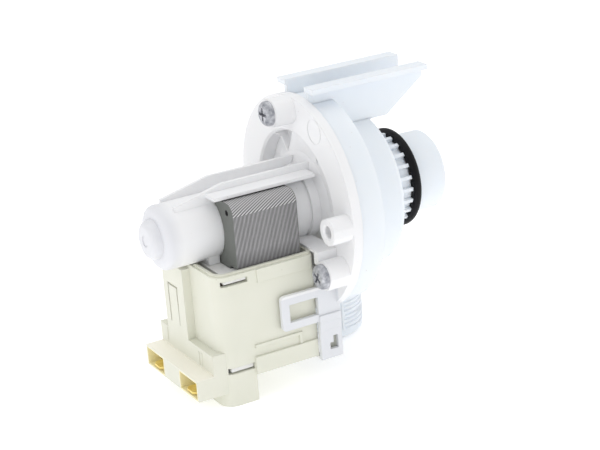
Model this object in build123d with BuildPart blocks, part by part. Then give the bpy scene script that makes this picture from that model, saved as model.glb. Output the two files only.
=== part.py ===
from build123d import *
import os
from math import cos, radians, sin, sqrt

os.makedirs("parts", exist_ok=True)

# Washer drain pump: a wet rotor motor with its coils below, bolted to a volute
# with an axial inlet and a hanging outlet. The motor axis runs along X and +Z is up.
# The origin is under the middle of the pump, on the face that the coil housing stands on.
# A name that ends in at is a distance along the motor axis from the face of the flange,
# counted towards the inlet, and a name that ends in drop is a distance below the axis.

# Fits
overrun = 1.0
running_gap = 0.06
slip_gap = 0.15
part_gap = 0.3
radius_match = 0.01

# Motor moulding: flange, bowl and cone
axis_height = 57.9
flange_radius = 38.0
flange_thickness = 3.6
bowl_radius = 25.3
bowl_wall = 1.9
bowl_depth = 5.5
bowl_lip = 0.7
floor_thickness = 1.8
cone_root_radius = 13.2
cone_root_at = 2.4
cone_step_radius = 17.8
cone_step_at = 3.3
cone_rim_radius = 21.8
bowl_rib_count = 4
bowl_rib_pitch = 60.0
bowl_rib_thickness = 0.8
bowl_rib_rim_at = 0.8
bowl_rib_shoulder_at = 2.75
bowl_rib_shoulder_radius = 23.5
ramp_end_angle = 177.0
ramp_pocket_angle = 128.5
ramp_pocket_spread = 5.0
ramp_pocket_inner = 19.6
ramp_pocket_outer = 24.3
ramp_pocket_floor_at = 3.2

# Motor moulding: rotor can, collar and end boss
can_radius = 11.2
can_wall = 1.5
can_length = 54.3
can_rounding = 2.5
collar_radius = 12.7
collar_start = 10.0
collar_groove_start = 1.7
collar_groove_width = 0.8
collar_groove_depth = 0.5
boss_length = 3.4
boss_root_radius = 7.0
boss_tip_radius = 6.2
boss_rounding = 2.2
boss_end_wall = 1.8
boss_dimple_radius = 2.0
boss_dimple_depth = 0.3

# Motor moulding: fins, ledge, saddle and shelf
fin_offset = 5.2
fin_thickness = 1.6
fin_top = 15.3
fin_root = 9.0
fin_start = 48.5
fin_tail_height = 11.1
fin_ramp_end = 30.5
fin_front_reach = 3.2
fin_rear_reach = 2.7
fin_rear_slant = 3.9
fin_rear_chin = 0.95
fin_nose_height = 1.0
fin_chin_height = 2.3
ledge_reach = 12.6
ledge_top = 13.2
ledge_thickness = 1.1
ledge_start = 37.0
ledge_end = 1.5
saddle_start = 38.4
saddle_length = 4.0
saddle_half_width = 7.2
saddle_top_drop = 8.0
saddle_depth = 3.4
shelf_drop = 9.3
shelf_thickness = 1.0
shelf_reach = 25.9
shelf_inner = 4.0
shelf_length = 7.1
brace_thickness = 2.8
brace_length = 7.3
brace_bottom_drop = 14.1

# Motor moulding: bosses for the screws and the plain fixing hole
screw_circle_radius = 33.5
screw_count = 3
screw_angle = 90.0
screw_boss_radius = 5.1
screw_boss_height = 7.5
screw_hole_gap = 0.25
fixing_offset = 33.6
fixing_boss_radius = 4.55
fixing_bore_radius = 2.15
fixing_bore_depth = 9.0
fixing_bore_chamfer = 0.5

# Motor moulding: clip bracket beside the coils
bracket_offset = 22.1
bracket_thickness = 1.4
bracket_start = 7.3
bracket_end_at = 1.1
bracket_neck_drop = 30.8
bracket_top_drop = 22.7
bracket_bottom_drop = 49.7
loop_reach = 21.4
loop_bottom_drop = 35.2
loop_rounding = 1.5
loop_window_reach = 18.3
loop_window_top_drop = 26.1
loop_window_bottom_drop = 32.5
bracket_band_height = 0.6
bracket_band_top_drop = 33.1
bracket_band_bottom_drop = 35.8
bracket_step_height = 0.3
bracket_step_bottom_drop = 38.9
bracket_foot_side = 18.7
bracket_foot_thickness = 1.1
clip_window_start = 3.7
clip_window_end = 0.5
clip_window_top_drop = 41.6
clip_window_bottom_drop = 46.5
clip_tab_width = 1.4
clip_tab_height = 2.4

# Volute housing: rim, chamber and inlet
rim_radius = 36.8
rim_wall = 2.0
rim_end_at = 12.9
rim_floor = 1.8
seat_gap = 0.4
seat_wall = 2.8
seal_seat_width = 1.8
chamber_radius = 25.0
chamber_wall = 2.5
drum_end_at = 27.6
drum_end_wall = 2.4
drum_rounding = 1.8
boss_inset_radius = 3.7
rim_rib_thickness = 1.6
spline_count = 24
spline_tip_radius = 16.6
spline_root_radius = 15.1
spline_width = 1.3
spline_end_at = 37.7
spigot_radius = 14.2
spigot_wall = 2.4
spigot_lip_height = 0.35
spigot_lip_width = 0.6
inlet_end_at = 53.5
inlet_chamfer = 0.8
inlet_ring_radius = 1.75

# Volute housing: outlet
outlet_offset = 17.2
outlet_radius = 15.0
outlet_wall = 2.3
outlet_drop = 56.6
outlet_tip_height = 2.8
outlet_ring_step = 0.2
outlet_neck_gap = 0.5
outlet_flare_height = 5.0
throat_margin = 0.35
outlet_chamfer = 0.5
groove_count = 8
groove_pitch = 1.65
groove_width = 0.7
groove_depth = 0.45
groove_first_drop = 41.6
groove_seam_angle = 9.0

# Volute housing: mounting rails
rail_top = 41.8
rail_thickness = 1.9
rail_start_at = 3.0
rail_end_at = 49.0
rail_inner = 6.4
rail_outer = 12.0
web_thickness = 1.8
web_toe_at = 33.8
web_toe_height = 26.0
web_nose_height = 37.0

# Stator core
core_start = 34.1
core_end = 10.0
core_half_width = 19.0
core_top = 11.6
core_rounding = 4.0
core_bore_radius = 11.6
pole_bottom_drop = 10.4
pole_gap_half = 6.3
leg_inner = 6.0
leg_outer = 14.0
yoke_height = 8.0
core_hole_offset = 14.7
core_hole_height = 8.2
core_hole_radius = 1.6

# Coil housing
coil_start = 43.7
coil_end = 6.7
coil_half_width = 21.0
coil_wall = 1.8
coil_end_wall = 1.0
coil_rounding = 5.0
coil_end_rounding = 0.8
coil_rim_drop = 11.2
coil_lip_drop = 10.4
coil_lip_thickness = 1.0
coil_bottom_drop = 48.3
foot_reach = 31.4
panel_depth = 3.0
panel_low_side = -2.0
panel_high_side = 13.7
panel_top_drop = 12.6
step_top_drop = 38.1
step_half_width = 19.8
block_reach = 53.2
block_top_drop = 45.3
block_bottom_drop = 52.9
socket_inner = 6.4
socket_outer = 18.9
socket_depth = 8.0
socket_top_drop = 46.2
socket_bottom_drop = 52.2
tongue_slot_width = 0.7
tongue_slot_depth = 1.6
tongue_top_drop = 20.3
tongue_bottom_drop = 34.8
tongue_low_side = 3.4
tongue_high_side = 10.0
tongue_wedge_top = 1.0
tongue_wedge_tip = 0.3
vent_start = 41.5
vent_reach = 31.8
vent_height = 1.8
vent_top_drop = 12.8
vent_low_height = 2.2
vent_low_top_drop = 43.9
vent_corner_depth = 3.4
band_start = 28.3
band_depth = 0.4
band_bottom_drop = 16.0
hem_start = 31.6
hem_depth = 0.9
hem_top_drop = 42.0
hem_bottom_drop = 48.2
ridge_start = 31.2
ridge_end = 13.1
ridge_width = 1.1
ridge_depth = 0.6
ridge_drop = 37.7

# Bobbins and coils
bobbin_wall = 0.8
bobbin_top_drop = 11.5
bobbin_flange = 2.7
bobbin_low_flange = 1.2
bobbin_start = 39.5
bobbin_gap = 0.2
bobbin_middle_gap = 0.25
bobbin_corner_radius = 3.0
skirt_thickness = 1.0
skirt_length = 7.6
skirt_end = 12.0
arm_start = 41.7
arm_end = 36.0
arm_width = 8.0
arm_drop = 54.0
coil_inset = 0.25

# Terminals
blade_width = 6.3
blade_thickness = 0.8
blade_tip = 52.9
blade_root = 38.0
blade_drop = 51.3
blade_chamfer = 1.2

# Bearings and cover
shaft_radius = 1.5
bearing_wall = 1.9
bearing_length = 4.6
bearing_seat_wall = 1.2
bearing_seat_lip = 0.3
cover_start_at = 1.3
cover_hub_radius = 11.5
cover_flange_radius = 16.0
cover_flange_thickness = 1.4
cover_gap = 0.2
cover_bearing_at = 1.5
cover_lip_bore = 2.4
cover_lip_thickness = 0.4
cover_groove_at = 2.8
cover_groove_width = 1.6

# Rotor
magnet_radius = 9.1
magnet_bore_radius = 4.0
magnet_length = 28.0
sleeve_flange_radius = 8.6
sleeve_flange_thickness = 1.2
sleeve_tail_radius = 3.0
washer_thickness = 0.6
washer_radius = 3.3
shaft_end_gap = 0.5
shaft_nose_at = 17.0

# Impeller and its lost motion drive
impeller_start_at = 8.3
impeller_plate = 1.4
impeller_plate_radius = 16.0
impeller_radius = 18.0
impeller_end_at = 23.2
vane_count = 6
vane_thickness = 1.6
vane_corner = 1.5
vane_nose_radius = 10.5
vane_nose_at = 20.5
cup_bore_radius = 6.8
cup_wall = 1.8
cup_end_wall = 2.0
cap_thickness = 1.3
dog_hub_radius = 3.4
dog_length = 5.0
dog_angle = 80.0
dog_gap = 0.5

# Flange screws
screw_radius = 1.85
screw_head_radius = 4.3
screw_head_height = 2.6
screw_head_rounding = 1.8
screw_length = 18.0
screw_pilot_gap = 0.05
screw_slot_length = 4.6
screw_slot_width = 1.0
screw_slot_depth = 1.5

# Places worked out from the sizes above
can_reach = can_length + boss_length
axis_shift = (can_reach - inlet_end_at) / 2
rotor_bore_radius = can_radius - can_wall
chamber_at = bowl_depth + floor_thickness
chamber_end_at = drum_end_at - drum_end_wall
plug_radius = bowl_radius + bowl_wall
seat_radius = plug_radius + seat_gap
seal_outer_radius = seat_radius + seal_seat_width
drum_radius = chamber_radius + chamber_wall
throat_radius = (chamber_end_at - chamber_at) / 2 - throat_margin
outlet_at = (chamber_at + chamber_end_at) / 2
outlet_body_radius = outlet_radius + outlet_ring_step
neck_drop = flange_radius + outlet_neck_gap
inlet_cut_radius = (spline_tip_radius + web_toe_height) / 2
core_bottom_drop = coil_bottom_drop - coil_wall - slip_gap
yoke_top_drop = core_bottom_drop - yoke_height
coil_floor_drop = coil_bottom_drop - coil_wall
coil_inner_start = coil_start - coil_wall
coil_inner_end = coil_end + coil_end_wall
coil_inner_half = coil_half_width - coil_wall
bobbin_end = coil_inner_end + bobbin_gap
bobbin_outer = coil_inner_half - bobbin_gap
bobbin_low_drop = yoke_top_drop - bobbin_gap
socket_middle = (socket_inner + socket_outer) / 2
shaft_bore_radius = shaft_radius + running_gap
bearing_radius = shaft_bore_radius + bearing_wall
bearing_seat_radius = bearing_radius + bearing_seat_wall
pocket_end = can_reach - boss_end_wall
rear_bearing_start = pocket_end - bearing_seat_lip
rear_bearing_end = rear_bearing_start - bearing_length
pocket_mouth = rear_bearing_end - bearing_seat_lip
front_bearing_end_at = cover_bearing_at + bearing_length
cover_seat_radius = cover_hub_radius + cover_gap
cover_groove_depth = cover_groove_width - cover_gap
magnet_middle = (core_start + core_end) / 2
magnet_back = magnet_middle + magnet_length / 2
magnet_front = magnet_middle - magnet_length / 2
cup_radius = cup_bore_radius + cup_wall
cup_floor_at = impeller_start_at + cap_thickness + dog_length + 2 * part_gap
cup_end_at = cup_floor_at + cup_end_wall
dog_at = impeller_start_at + cap_thickness + part_gap


def across(distance):
    """Plane square to the motor axis: sketch x is +Y and sketch y is up."""
    return Plane(origin=(axis_shift + distance, 0, axis_height), x_dir=(0, 1, 0), z_dir=(1, 0, 0))


def along(sideways=0):
    """Upright plane along the motor axis: sketch x is +X and sketch y is up."""
    return Plane(origin=(axis_shift, sideways, axis_height), x_dir=(1, 0, 0), z_dir=(0, -1, 0))


def level(rise):
    """Level plane at a height above the motor axis: sketch x is +X and sketch y is +Y."""
    return Plane(origin=(axis_shift, 0, axis_height + rise), x_dir=(1, 0, 0), z_dir=(0, 0, 1))


motor_axis = Axis((axis_shift, 0, axis_height), (1, 0, 0))
outlet_axis = Axis((axis_shift + outlet_at, outlet_offset, axis_height), (0, 0, 1))


def corners(low, high, mode=Mode.ADD):
    """Rectangle between two opposite corners, drawn in the sketch that is open."""
    with Locations(((low[0] + high[0]) / 2, (low[1] + high[1]) / 2)):
        Rectangle(high[0] - low[0], high[1] - low[1], mode=mode)


def outline(points):
    """Closed face through points, drawn in the sketch that is open."""
    with BuildLine() as edge:
        Polyline(*points, close=True)
    make_face(edge.edges())


def slab(plane, low, high, thickness, mode=Mode.ADD):
    """Rectangle between two corners of a plane, raised by a thickness in the open part."""
    with BuildSketch(plane) as profile:
        corners(low, high)
    extrude(profile.sketch, amount=thickness, mode=mode)


def turned(points, mode=Mode.ADD, axis=motor_axis, plane=along()):
    """Ring or disc turned in the open part from its half section."""
    with BuildSketch(plane) as profile:
        with BuildLine() as edge:
            Polyline(*points, close=True)
        make_face(edge.edges())
    revolve(profile.sketch, axis=axis, mode=mode)


def bush(start, end, inner, outer, mode=Mode.ADD):
    """Plain ring round the motor axis."""
    turned([(start, inner), (end, inner), (end, outer), (start, outer)], mode)


def sector(start, length, inner, outer, middle_angle, mode=Mode.ADD):
    """Lug round the motor axis between two radii, dog_angle wide."""
    reach = outer * 2
    half = radians(dog_angle / 2)
    middle = radians(middle_angle)
    with BuildSketch(across(start)) as profile:
        Circle(outer)
        Circle(inner, mode=Mode.SUBTRACT)
        with BuildLine() as edge:
            Polyline(
                (0, 0),
                (reach * cos(middle - half), reach * sin(middle - half)),
                (reach * cos(middle), reach * sin(middle)),
                (reach * cos(middle + half), reach * sin(middle + half)),
                close=True,
            )
        make_face(edge.edges(), mode=Mode.INTERSECT)
    extrude(profile.sketch, amount=length, mode=mode)


def finish(part, name):
    """Label a finished piece and write it to its own file."""
    part.label = name
    export_step(part, f"parts/{name}.step")


# Ramp that fills the upper near side of the motor moulding's bowl
with BuildPart() as bowl_ramp:
    ramp_edge_turn = radians(bowl_rib_pitch)
    ramp_end_turn = radians(ramp_end_angle)
    with BuildSketch(across(0)):
        outline(
            [
                (cone_step_radius * cos(ramp_edge_turn), cone_step_radius * sin(ramp_edge_turn)),
                (0, bowl_radius),
                (0, flange_radius),
                (-flange_radius, flange_radius),
                (flange_radius * cos(ramp_end_turn), flange_radius * sin(ramp_end_turn)),
                (0, 0),
            ]
        )
    extrude(amount=bowl_depth + bowl_lip)
    turned(
        [
            (cone_step_at, cone_step_radius),
            (bowl_lip, bowl_radius),
            (bowl_lip, bowl_radius + bowl_lip),
            (bowl_depth + bowl_lip, bowl_radius + bowl_lip),
            (bowl_depth + bowl_lip, cone_step_radius),
        ],
        mode=Mode.INTERSECT,
    )

    # Small pocket that narrows towards the can
    pocket_turn = radians(ramp_pocket_angle)
    pocket_low = pocket_turn - radians(ramp_pocket_spread / 2)
    pocket_high = pocket_turn + radians(ramp_pocket_spread / 2)
    with BuildSketch(across(0)):
        outline(
            [
                (ramp_pocket_inner * cos(pocket_turn), ramp_pocket_inner * sin(pocket_turn)),
                (ramp_pocket_outer * cos(pocket_low), ramp_pocket_outer * sin(pocket_low)),
                (ramp_pocket_outer * cos(pocket_high), ramp_pocket_outer * sin(pocket_high)),
            ]
        )
    extrude(amount=ramp_pocket_floor_at, mode=Mode.SUBTRACT)


# Motor moulding: flange, bowl, cone, collar, rotor can and its bosses in one white piece
with BuildPart() as motor_housing:
    with BuildSketch(along()):
        with BuildLine():
            Polyline(
                (-can_reach, 0),
                (-can_reach, boss_tip_radius),
                (-can_length, boss_root_radius),
                (-can_length, can_radius - can_rounding),
            )
            CenterArc((can_rounding - can_length, can_radius - can_rounding), can_rounding, 180, -90)
            Polyline(
                (can_rounding - can_length, can_radius),
                (-collar_start, can_radius),
                (-collar_start, collar_radius),
                (-collar_groove_start, collar_radius),
                (-collar_groove_start, collar_radius - collar_groove_depth),
                (collar_groove_width - collar_groove_start, collar_radius - collar_groove_depth),
                (collar_groove_width - collar_groove_start, cone_root_radius),
                (cone_root_at, cone_root_radius),
                (cone_step_at, cone_step_radius),
                (bowl_depth, cone_rim_radius),
                (bowl_depth, bowl_radius),
                (bowl_lip, bowl_radius),
                (0, bowl_radius + bowl_lip),
                (0, flange_radius),
                (flange_thickness, flange_radius),
                (flange_thickness, plug_radius),
                (chamber_at, plug_radius),
                (chamber_at, 0),
                (-can_reach, 0),
            )
        make_face()
    revolve(axis=motor_axis)
    tip_edge = motor_housing.edges().filter_by(GeomType.CIRCLE).sort_by(Axis.X)[0]
    fillet(tip_edge, radius=boss_rounding)
    add(bowl_ramp.part)

    # Fins along the top of the can, the far one with its end cut back below
    for side, reach, chin, slant in (
        (-1, fin_front_reach, 0, 0),
        (1, fin_rear_reach, fin_rear_chin, fin_rear_slant),
    ):
        with BuildSketch(along(side * fin_offset + fin_thickness / 2)):
            outline(
                [
                    (-fin_start, fin_root),
                    (-fin_start, fin_tail_height),
                    (-fin_ramp_end, fin_top),
                    (reach, fin_top),
                    (reach, fin_top - fin_nose_height),
                    (reach - chin, fin_top - fin_chin_height),
                    (reach - slant, collar_radius - ledge_thickness),
                    (reach - slant, fin_root),
                ]
            )
        extrude(amount=fin_thickness)

    # Ledge over the core, saddle under the can, and shelves beside the collar
    slab(
        level(ledge_top - ledge_thickness),
        (-ledge_start, -ledge_reach),
        (ledge_end, -fin_offset),
        ledge_thickness,
    )
    slab(
        level(-saddle_top_drop - saddle_depth),
        (-saddle_start, -saddle_half_width),
        (saddle_length - saddle_start, saddle_half_width),
        saddle_depth,
    )
    for side in (-1, 1):
        shelf_ends = sorted((side * shelf_inner, side * shelf_reach))
        slab(
            level(-shelf_drop - shelf_thickness),
            (-shelf_length, shelf_ends[0]),
            (0, shelf_ends[1]),
            shelf_thickness,
        )
        slab(
            along(side * (shelf_reach - brace_thickness / 2) + brace_thickness / 2),
            (-brace_length, -brace_bottom_drop),
            (0, -shelf_drop),
            brace_thickness,
        )

    # Ribs in the open stretch of the bowl, between the cone and the wall
    for index in range(bowl_rib_count):
        turn = bowl_rib_pitch * (1 - index)
        rib_plane = Plane(
            origin=(axis_shift, 0, axis_height),
            x_dir=(1, 0, 0),
            z_dir=(0, -sin(radians(turn)), cos(radians(turn))),
        )
        with BuildSketch(rib_plane):
            outline(
                [
                    (cone_step_at, cone_step_radius),
                    (bowl_rib_shoulder_at, bowl_rib_shoulder_radius),
                    (bowl_rib_rim_at, bowl_radius),
                    (bowl_rib_rim_at, bowl_radius + bowl_lip),
                    (bowl_depth + bowl_lip, bowl_radius + bowl_lip),
                    (bowl_depth + bowl_lip, cone_step_radius),
                ]
            )
        extrude(amount=bowl_rib_thickness / 2, both=True)

    # Screw bosses and the plain fixing boss, kept inside the flange's rim
    with BuildSketch(across(-screw_boss_height)):
        with PolarLocations(screw_circle_radius, screw_count, start_angle=screw_angle):
            Circle(screw_boss_radius)
        with Locations((-fixing_offset, 0)):
            Circle(fixing_boss_radius)
        Circle(flange_radius, mode=Mode.INTERSECT)
    extrude(amount=screw_boss_height + flange_thickness / 2)

    # Clip bracket: a plate that hangs from the flange, with a loop towards the coils
    with BuildSketch(along(-bracket_offset)):
        outline(
            [
                (-bracket_start, -bracket_top_drop),
                (flange_thickness / 2, -bracket_top_drop),
                (flange_thickness / 2, -bracket_neck_drop),
                (bracket_end_at, -bracket_neck_drop),
                (bracket_end_at, -bracket_bottom_drop),
                (-bracket_start, -bracket_bottom_drop),
            ]
        )
        with BuildSketch(mode=Mode.PRIVATE) as loop:
            corners((-loop_reach, -loop_bottom_drop), (-bracket_start + overrun, -bracket_top_drop))
            fillet(loop.vertices().group_by(Axis.X)[0], radius=loop_rounding)
        add(loop.sketch)
        corners(
            (-loop_window_reach, -loop_window_bottom_drop),
            (-bracket_start, -loop_window_top_drop),
            mode=Mode.SUBTRACT,
        )
        corners(
            (-clip_window_start, -clip_window_bottom_drop),
            (-clip_window_end, -clip_window_top_drop),
            mode=Mode.SUBTRACT,
        )
        corners(
            (-clip_window_start - overrun, -clip_window_top_drop - clip_tab_height),
            (clip_tab_width - clip_window_start, overrun - clip_window_top_drop),
        )
    extrude(amount=bracket_thickness)
    for top_drop, bottom_drop, height in (
        (bracket_band_top_drop, bracket_band_bottom_drop, bracket_band_height),
        (bracket_band_bottom_drop, bracket_step_bottom_drop, bracket_step_height),
    ):
        slab(
            along(-bracket_offset - bracket_thickness),
            (-bracket_start, -bottom_drop),
            (bracket_end_at, -top_drop),
            height,
        )
    slab(
        level(-bracket_bottom_drop),
        (-bracket_start, -bracket_offset - bracket_thickness / 2),
        (bracket_end_at, -bracket_foot_side),
        bracket_foot_thickness,
    )

    # Bores: rotor well, rear bearing pocket, and the seat of the bearing cover
    turned(
        [
            (-pocket_end, 0),
            (-pocket_end, bearing_seat_radius),
            (-pocket_mouth, bearing_seat_radius),
            (-pocket_mouth, rotor_bore_radius),
            (cover_start_at - cover_gap, rotor_bore_radius),
            (cover_start_at - cover_gap, cover_seat_radius),
            (chamber_at - cover_flange_thickness, cover_seat_radius),
            (chamber_at - cover_flange_thickness, cover_flange_radius + cover_gap),
            (chamber_at + overrun, cover_flange_radius + cover_gap),
            (chamber_at + overrun, 0),
        ],
        mode=Mode.SUBTRACT,
    )
    with BuildSketch(across(-screw_boss_height)):
        with PolarLocations(screw_circle_radius, screw_count, start_angle=screw_angle):
            Circle(screw_radius + screw_hole_gap)
    extrude(amount=screw_boss_height + flange_thickness, mode=Mode.SUBTRACT)
    with BuildSketch(across(-screw_boss_height)):
        with Locations((-fixing_offset, 0)):
            Circle(fixing_bore_radius)
    extrude(amount=fixing_bore_depth, mode=Mode.SUBTRACT)
    fixing_mouth = (
        motor_housing.edges()
        .filter_by(GeomType.CIRCLE)
        .filter_by(lambda edge: abs(edge.radius - fixing_bore_radius) < radius_match)
        .sort_by(Axis.X)[0]
    )
    chamfer(fixing_mouth, length=fixing_bore_chamfer)
    with BuildSketch(across(-can_reach)):
        Circle(boss_dimple_radius)
    extrude(amount=boss_dimple_depth, mode=Mode.SUBTRACT)
finish(motor_housing.part, "motor_housing")


# Volute moulding: chamber, inlet with its splined collar, hanging outlet and rails
with BuildPart() as volute_moulding:
    turned(
        [
            (flange_thickness, 0),
            (flange_thickness, rim_radius),
            (rim_end_at, rim_radius),
            (rim_end_at, drum_radius),
            (drum_end_at, drum_radius),
            (drum_end_at, spline_root_radius),
            (spline_end_at, spline_root_radius),
            (spline_end_at, spigot_radius),
            (spline_end_at + 2 * inlet_ring_radius, spigot_radius),
            (spline_end_at + 2 * inlet_ring_radius, spigot_radius + spigot_lip_height),
            (spline_end_at + 2 * inlet_ring_radius + spigot_lip_width, spigot_radius + spigot_lip_height),
            (spline_end_at + 2 * inlet_ring_radius + spigot_lip_width, spigot_radius),
            (inlet_end_at - inlet_chamfer, spigot_radius),
            (inlet_end_at, spigot_radius - inlet_chamfer),
            (inlet_end_at, 0),
        ]
    )
    drum_edge = (
        volute_moulding.edges()
        .filter_by(GeomType.CIRCLE)
        .filter_by(lambda edge: abs(edge.radius - drum_radius) < radius_match)
        .sort_by(Axis.X)[-1]
    )
    fillet(drum_edge, radius=drum_rounding)

    # Splines on the collar behind the sealing ring
    with BuildSketch(across(drum_end_at - drum_end_wall / 2)):
        with PolarLocations((spline_tip_radius + spigot_radius) / 2, spline_count):
            Rectangle(spline_tip_radius - spigot_radius, spline_width)
    extrude(amount=spline_end_at - drum_end_at + drum_end_wall / 2)

    # Pocket between the rim and the chamber wall, crossed by screw bosses and ribs
    bush(
        flange_thickness,
        rim_end_at - rim_floor,
        seat_radius + seat_wall,
        rim_radius - rim_wall,
        mode=Mode.SUBTRACT,
    )
    with BuildSketch(across(flange_thickness)):
        with PolarLocations(screw_circle_radius, screw_count, start_angle=screw_angle):
            Circle(boss_inset_radius)
            Rectangle(2 * (screw_circle_radius - seat_radius - seat_wall / 2), rim_rib_thickness)
        with PolarLocations(
            (seat_radius + seat_wall + rim_radius - rim_wall) / 2,
            screw_count,
            start_angle=screw_angle + 180 / screw_count,
        ):
            Rectangle(rim_radius - rim_wall - seat_radius - seat_wall / 2, rim_rib_thickness)
        Circle(rim_radius, mode=Mode.INTERSECT)
        Circle(seat_radius + seat_wall / 2, mode=Mode.SUBTRACT)
    extrude(amount=rim_end_at - rim_floor / 2 - flange_thickness)

    # Outlet tube with a domed top, flattened where it passes the flange
    with BuildSketch(along(outlet_offset)) as outlet_profile:
        with BuildLine():
            CenterArc((outlet_at, 0), outlet_body_radius, 0, 90)
            Polyline(
                (outlet_at, outlet_body_radius),
                (outlet_at, -outlet_drop),
                (outlet_at + outlet_radius - outlet_chamfer, -outlet_drop),
                (outlet_at + outlet_radius, outlet_chamfer - outlet_drop),
                (outlet_at + outlet_radius, outlet_tip_height - outlet_drop),
                (outlet_at + outlet_body_radius, outlet_tip_height - outlet_drop),
                (outlet_at + outlet_body_radius, 0),
            )
        make_face()
    revolve(axis=outlet_axis)
    slab(
        across(outlet_at - outlet_body_radius - overrun),
        (outlet_offset - outlet_body_radius - overrun, -neck_drop),
        (outlet_offset + outlet_body_radius + overrun, outlet_body_radius + overrun),
        flange_thickness - outlet_at + outlet_body_radius + overrun,
        mode=Mode.SUBTRACT,
    )

    # Webs and outward lips of the two mounting rails
    for side in (-1, 1):
        web_middle = side * (rail_inner + web_thickness / 2)
        web_root = sqrt(rim_radius**2 - (rail_inner + web_thickness) ** 2) - rim_wall / 2
        web_low_root = sqrt(drum_radius**2 - (rail_inner + web_thickness) ** 2) - chamber_wall / 3
        with BuildSketch(along(web_middle + web_thickness / 2)):
            outline(
                [
                    (flange_thickness, web_root),
                    (rim_end_at - rim_floor / 2, web_root),
                    (rim_end_at - rim_floor / 2, web_low_root),
                    (drum_end_at - drum_rounding, web_low_root),
                    (drum_end_at - drum_rounding, web_toe_height - rim_wall / 2),
                    (drum_end_at, web_toe_height),
                    (web_toe_at, web_toe_height),
                    (rail_end_at, web_nose_height),
                    (rail_end_at, rail_top - rail_thickness / 2),
                    (flange_thickness, rail_top - rail_thickness / 2),
                ]
            )
        extrude(amount=web_thickness)
        lip_ends = sorted((side * rail_inner, side * rail_outer))
        slab(
            level(rail_top - rail_thickness),
            (rail_start_at, lip_ends[0]),
            (rail_end_at, lip_ends[1]),
            rail_thickness,
        )

    # Seat of the motor's bowl, seal seat, pump chamber and inlet bore
    turned(
        [
            (flange_thickness - overrun, 0),
            (flange_thickness - overrun, seal_outer_radius),
            (flange_thickness + seal_seat_width, seal_outer_radius),
            (flange_thickness + seal_seat_width, seat_radius),
            (chamber_at, seat_radius),
            (chamber_at, chamber_radius),
            (chamber_end_at, chamber_radius),
            (chamber_end_at, spigot_radius - spigot_wall),
            (inlet_end_at + overrun, spigot_radius - spigot_wall),
            (inlet_end_at + overrun, 0),
        ],
        mode=Mode.SUBTRACT,
    )
    outlet_bore_radius = outlet_radius - outlet_wall
    turned(
        [
            (outlet_at, 0),
            (outlet_at + throat_radius, 0),
            (outlet_at + throat_radius, outlet_flare_height - neck_drop),
            (outlet_at + outlet_bore_radius, -neck_drop),
            (outlet_at + outlet_bore_radius, -outlet_drop - overrun),
            (outlet_at, -outlet_drop - overrun),
        ],
        mode=Mode.SUBTRACT,
        axis=outlet_axis,
        plane=along(outlet_offset),
    )

    # Rings round the hose end, stopped at a moulding seam on the near side
    seam_start = radians(groove_seam_angle / 2 - 90)
    ring_plane = Plane(
        origin=(axis_shift + outlet_at, outlet_offset, axis_height),
        x_dir=(cos(seam_start), sin(seam_start), 0),
        z_dir=(sin(seam_start), -cos(seam_start), 0),
    )
    for index in range(groove_count):
        groove_drop = groove_first_drop + index * groove_pitch
        with BuildSketch(ring_plane):
            outline(
                [
                    (outlet_body_radius + groove_depth, groove_width - groove_drop),
                    (outlet_body_radius - groove_depth, groove_width / 4 - groove_drop),
                    (outlet_body_radius - groove_depth, -groove_width / 4 - groove_drop),
                    (outlet_body_radius + groove_depth, -groove_width - groove_drop),
                ]
            )
        revolve(axis=outlet_axis, revolution_arc=360 - groove_seam_angle, mode=Mode.SUBTRACT)

    # Blind pilot holes for the flange screws
    with BuildSketch(across(flange_thickness)):
        with PolarLocations(screw_circle_radius, screw_count, start_angle=screw_angle):
            Circle(screw_radius + screw_pilot_gap)
    extrude(amount=screw_length - screw_boss_height - flange_thickness + part_gap, mode=Mode.SUBTRACT)

# The moulding is handed on as pieces that meet face to face, so that its tubes and rails stay open
with BuildPart() as inlet_collar:
    add(volute_moulding.part)
    with BuildSketch(across(chamber_end_at)):
        Circle(inlet_cut_radius)
    extrude(amount=inlet_end_at - chamber_end_at + overrun, mode=Mode.INTERSECT)
finish(inlet_collar.part, "inlet_collar")

with BuildPart() as outlet_spout:
    add(volute_moulding.part)
    split(bisect_by=level(-neck_drop), keep=Keep.BOTTOM)
finish(outlet_spout.part, "outlet_spout")

with BuildPart() as mounting_rails:
    add(volute_moulding.part)
    split(bisect_by=level(inlet_cut_radius), keep=Keep.TOP)
    bush(flange_thickness - overrun, rim_end_at, 0, rim_radius, mode=Mode.SUBTRACT)
    bush(rim_end_at - overrun, drum_end_at, 0, drum_radius, mode=Mode.SUBTRACT)
finish(mounting_rails.part, "mounting_rails")

with BuildPart() as volute_housing:
    add(volute_moulding.part)
    split(bisect_by=level(-neck_drop), keep=Keep.TOP)
    with BuildSketch(across(chamber_end_at)):
        Circle(inlet_cut_radius)
    extrude(amount=inlet_end_at - chamber_end_at + overrun, mode=Mode.SUBTRACT)
    add(mounting_rails.part, mode=Mode.SUBTRACT)
finish(volute_housing.part, "volute_housing")


# Seals: the flange ring in its seat, the inlet ring on the spigot, the bearing cover's ring
with BuildPart() as flange_seal:
    with BuildSketch(along()):
        with Locations((flange_thickness + seal_seat_width / 2, (plug_radius + seal_outer_radius) / 2)):
            Circle(seal_seat_width / 2)
    revolve(axis=motor_axis)
finish(flange_seal.part, "flange_seal")

with BuildPart() as inlet_o_ring:
    with BuildSketch(along()):
        with Locations((spline_end_at + inlet_ring_radius, spigot_radius + inlet_ring_radius)):
            Circle(inlet_ring_radius)
    revolve(axis=motor_axis)
finish(inlet_o_ring.part, "inlet_o_ring")

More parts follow.
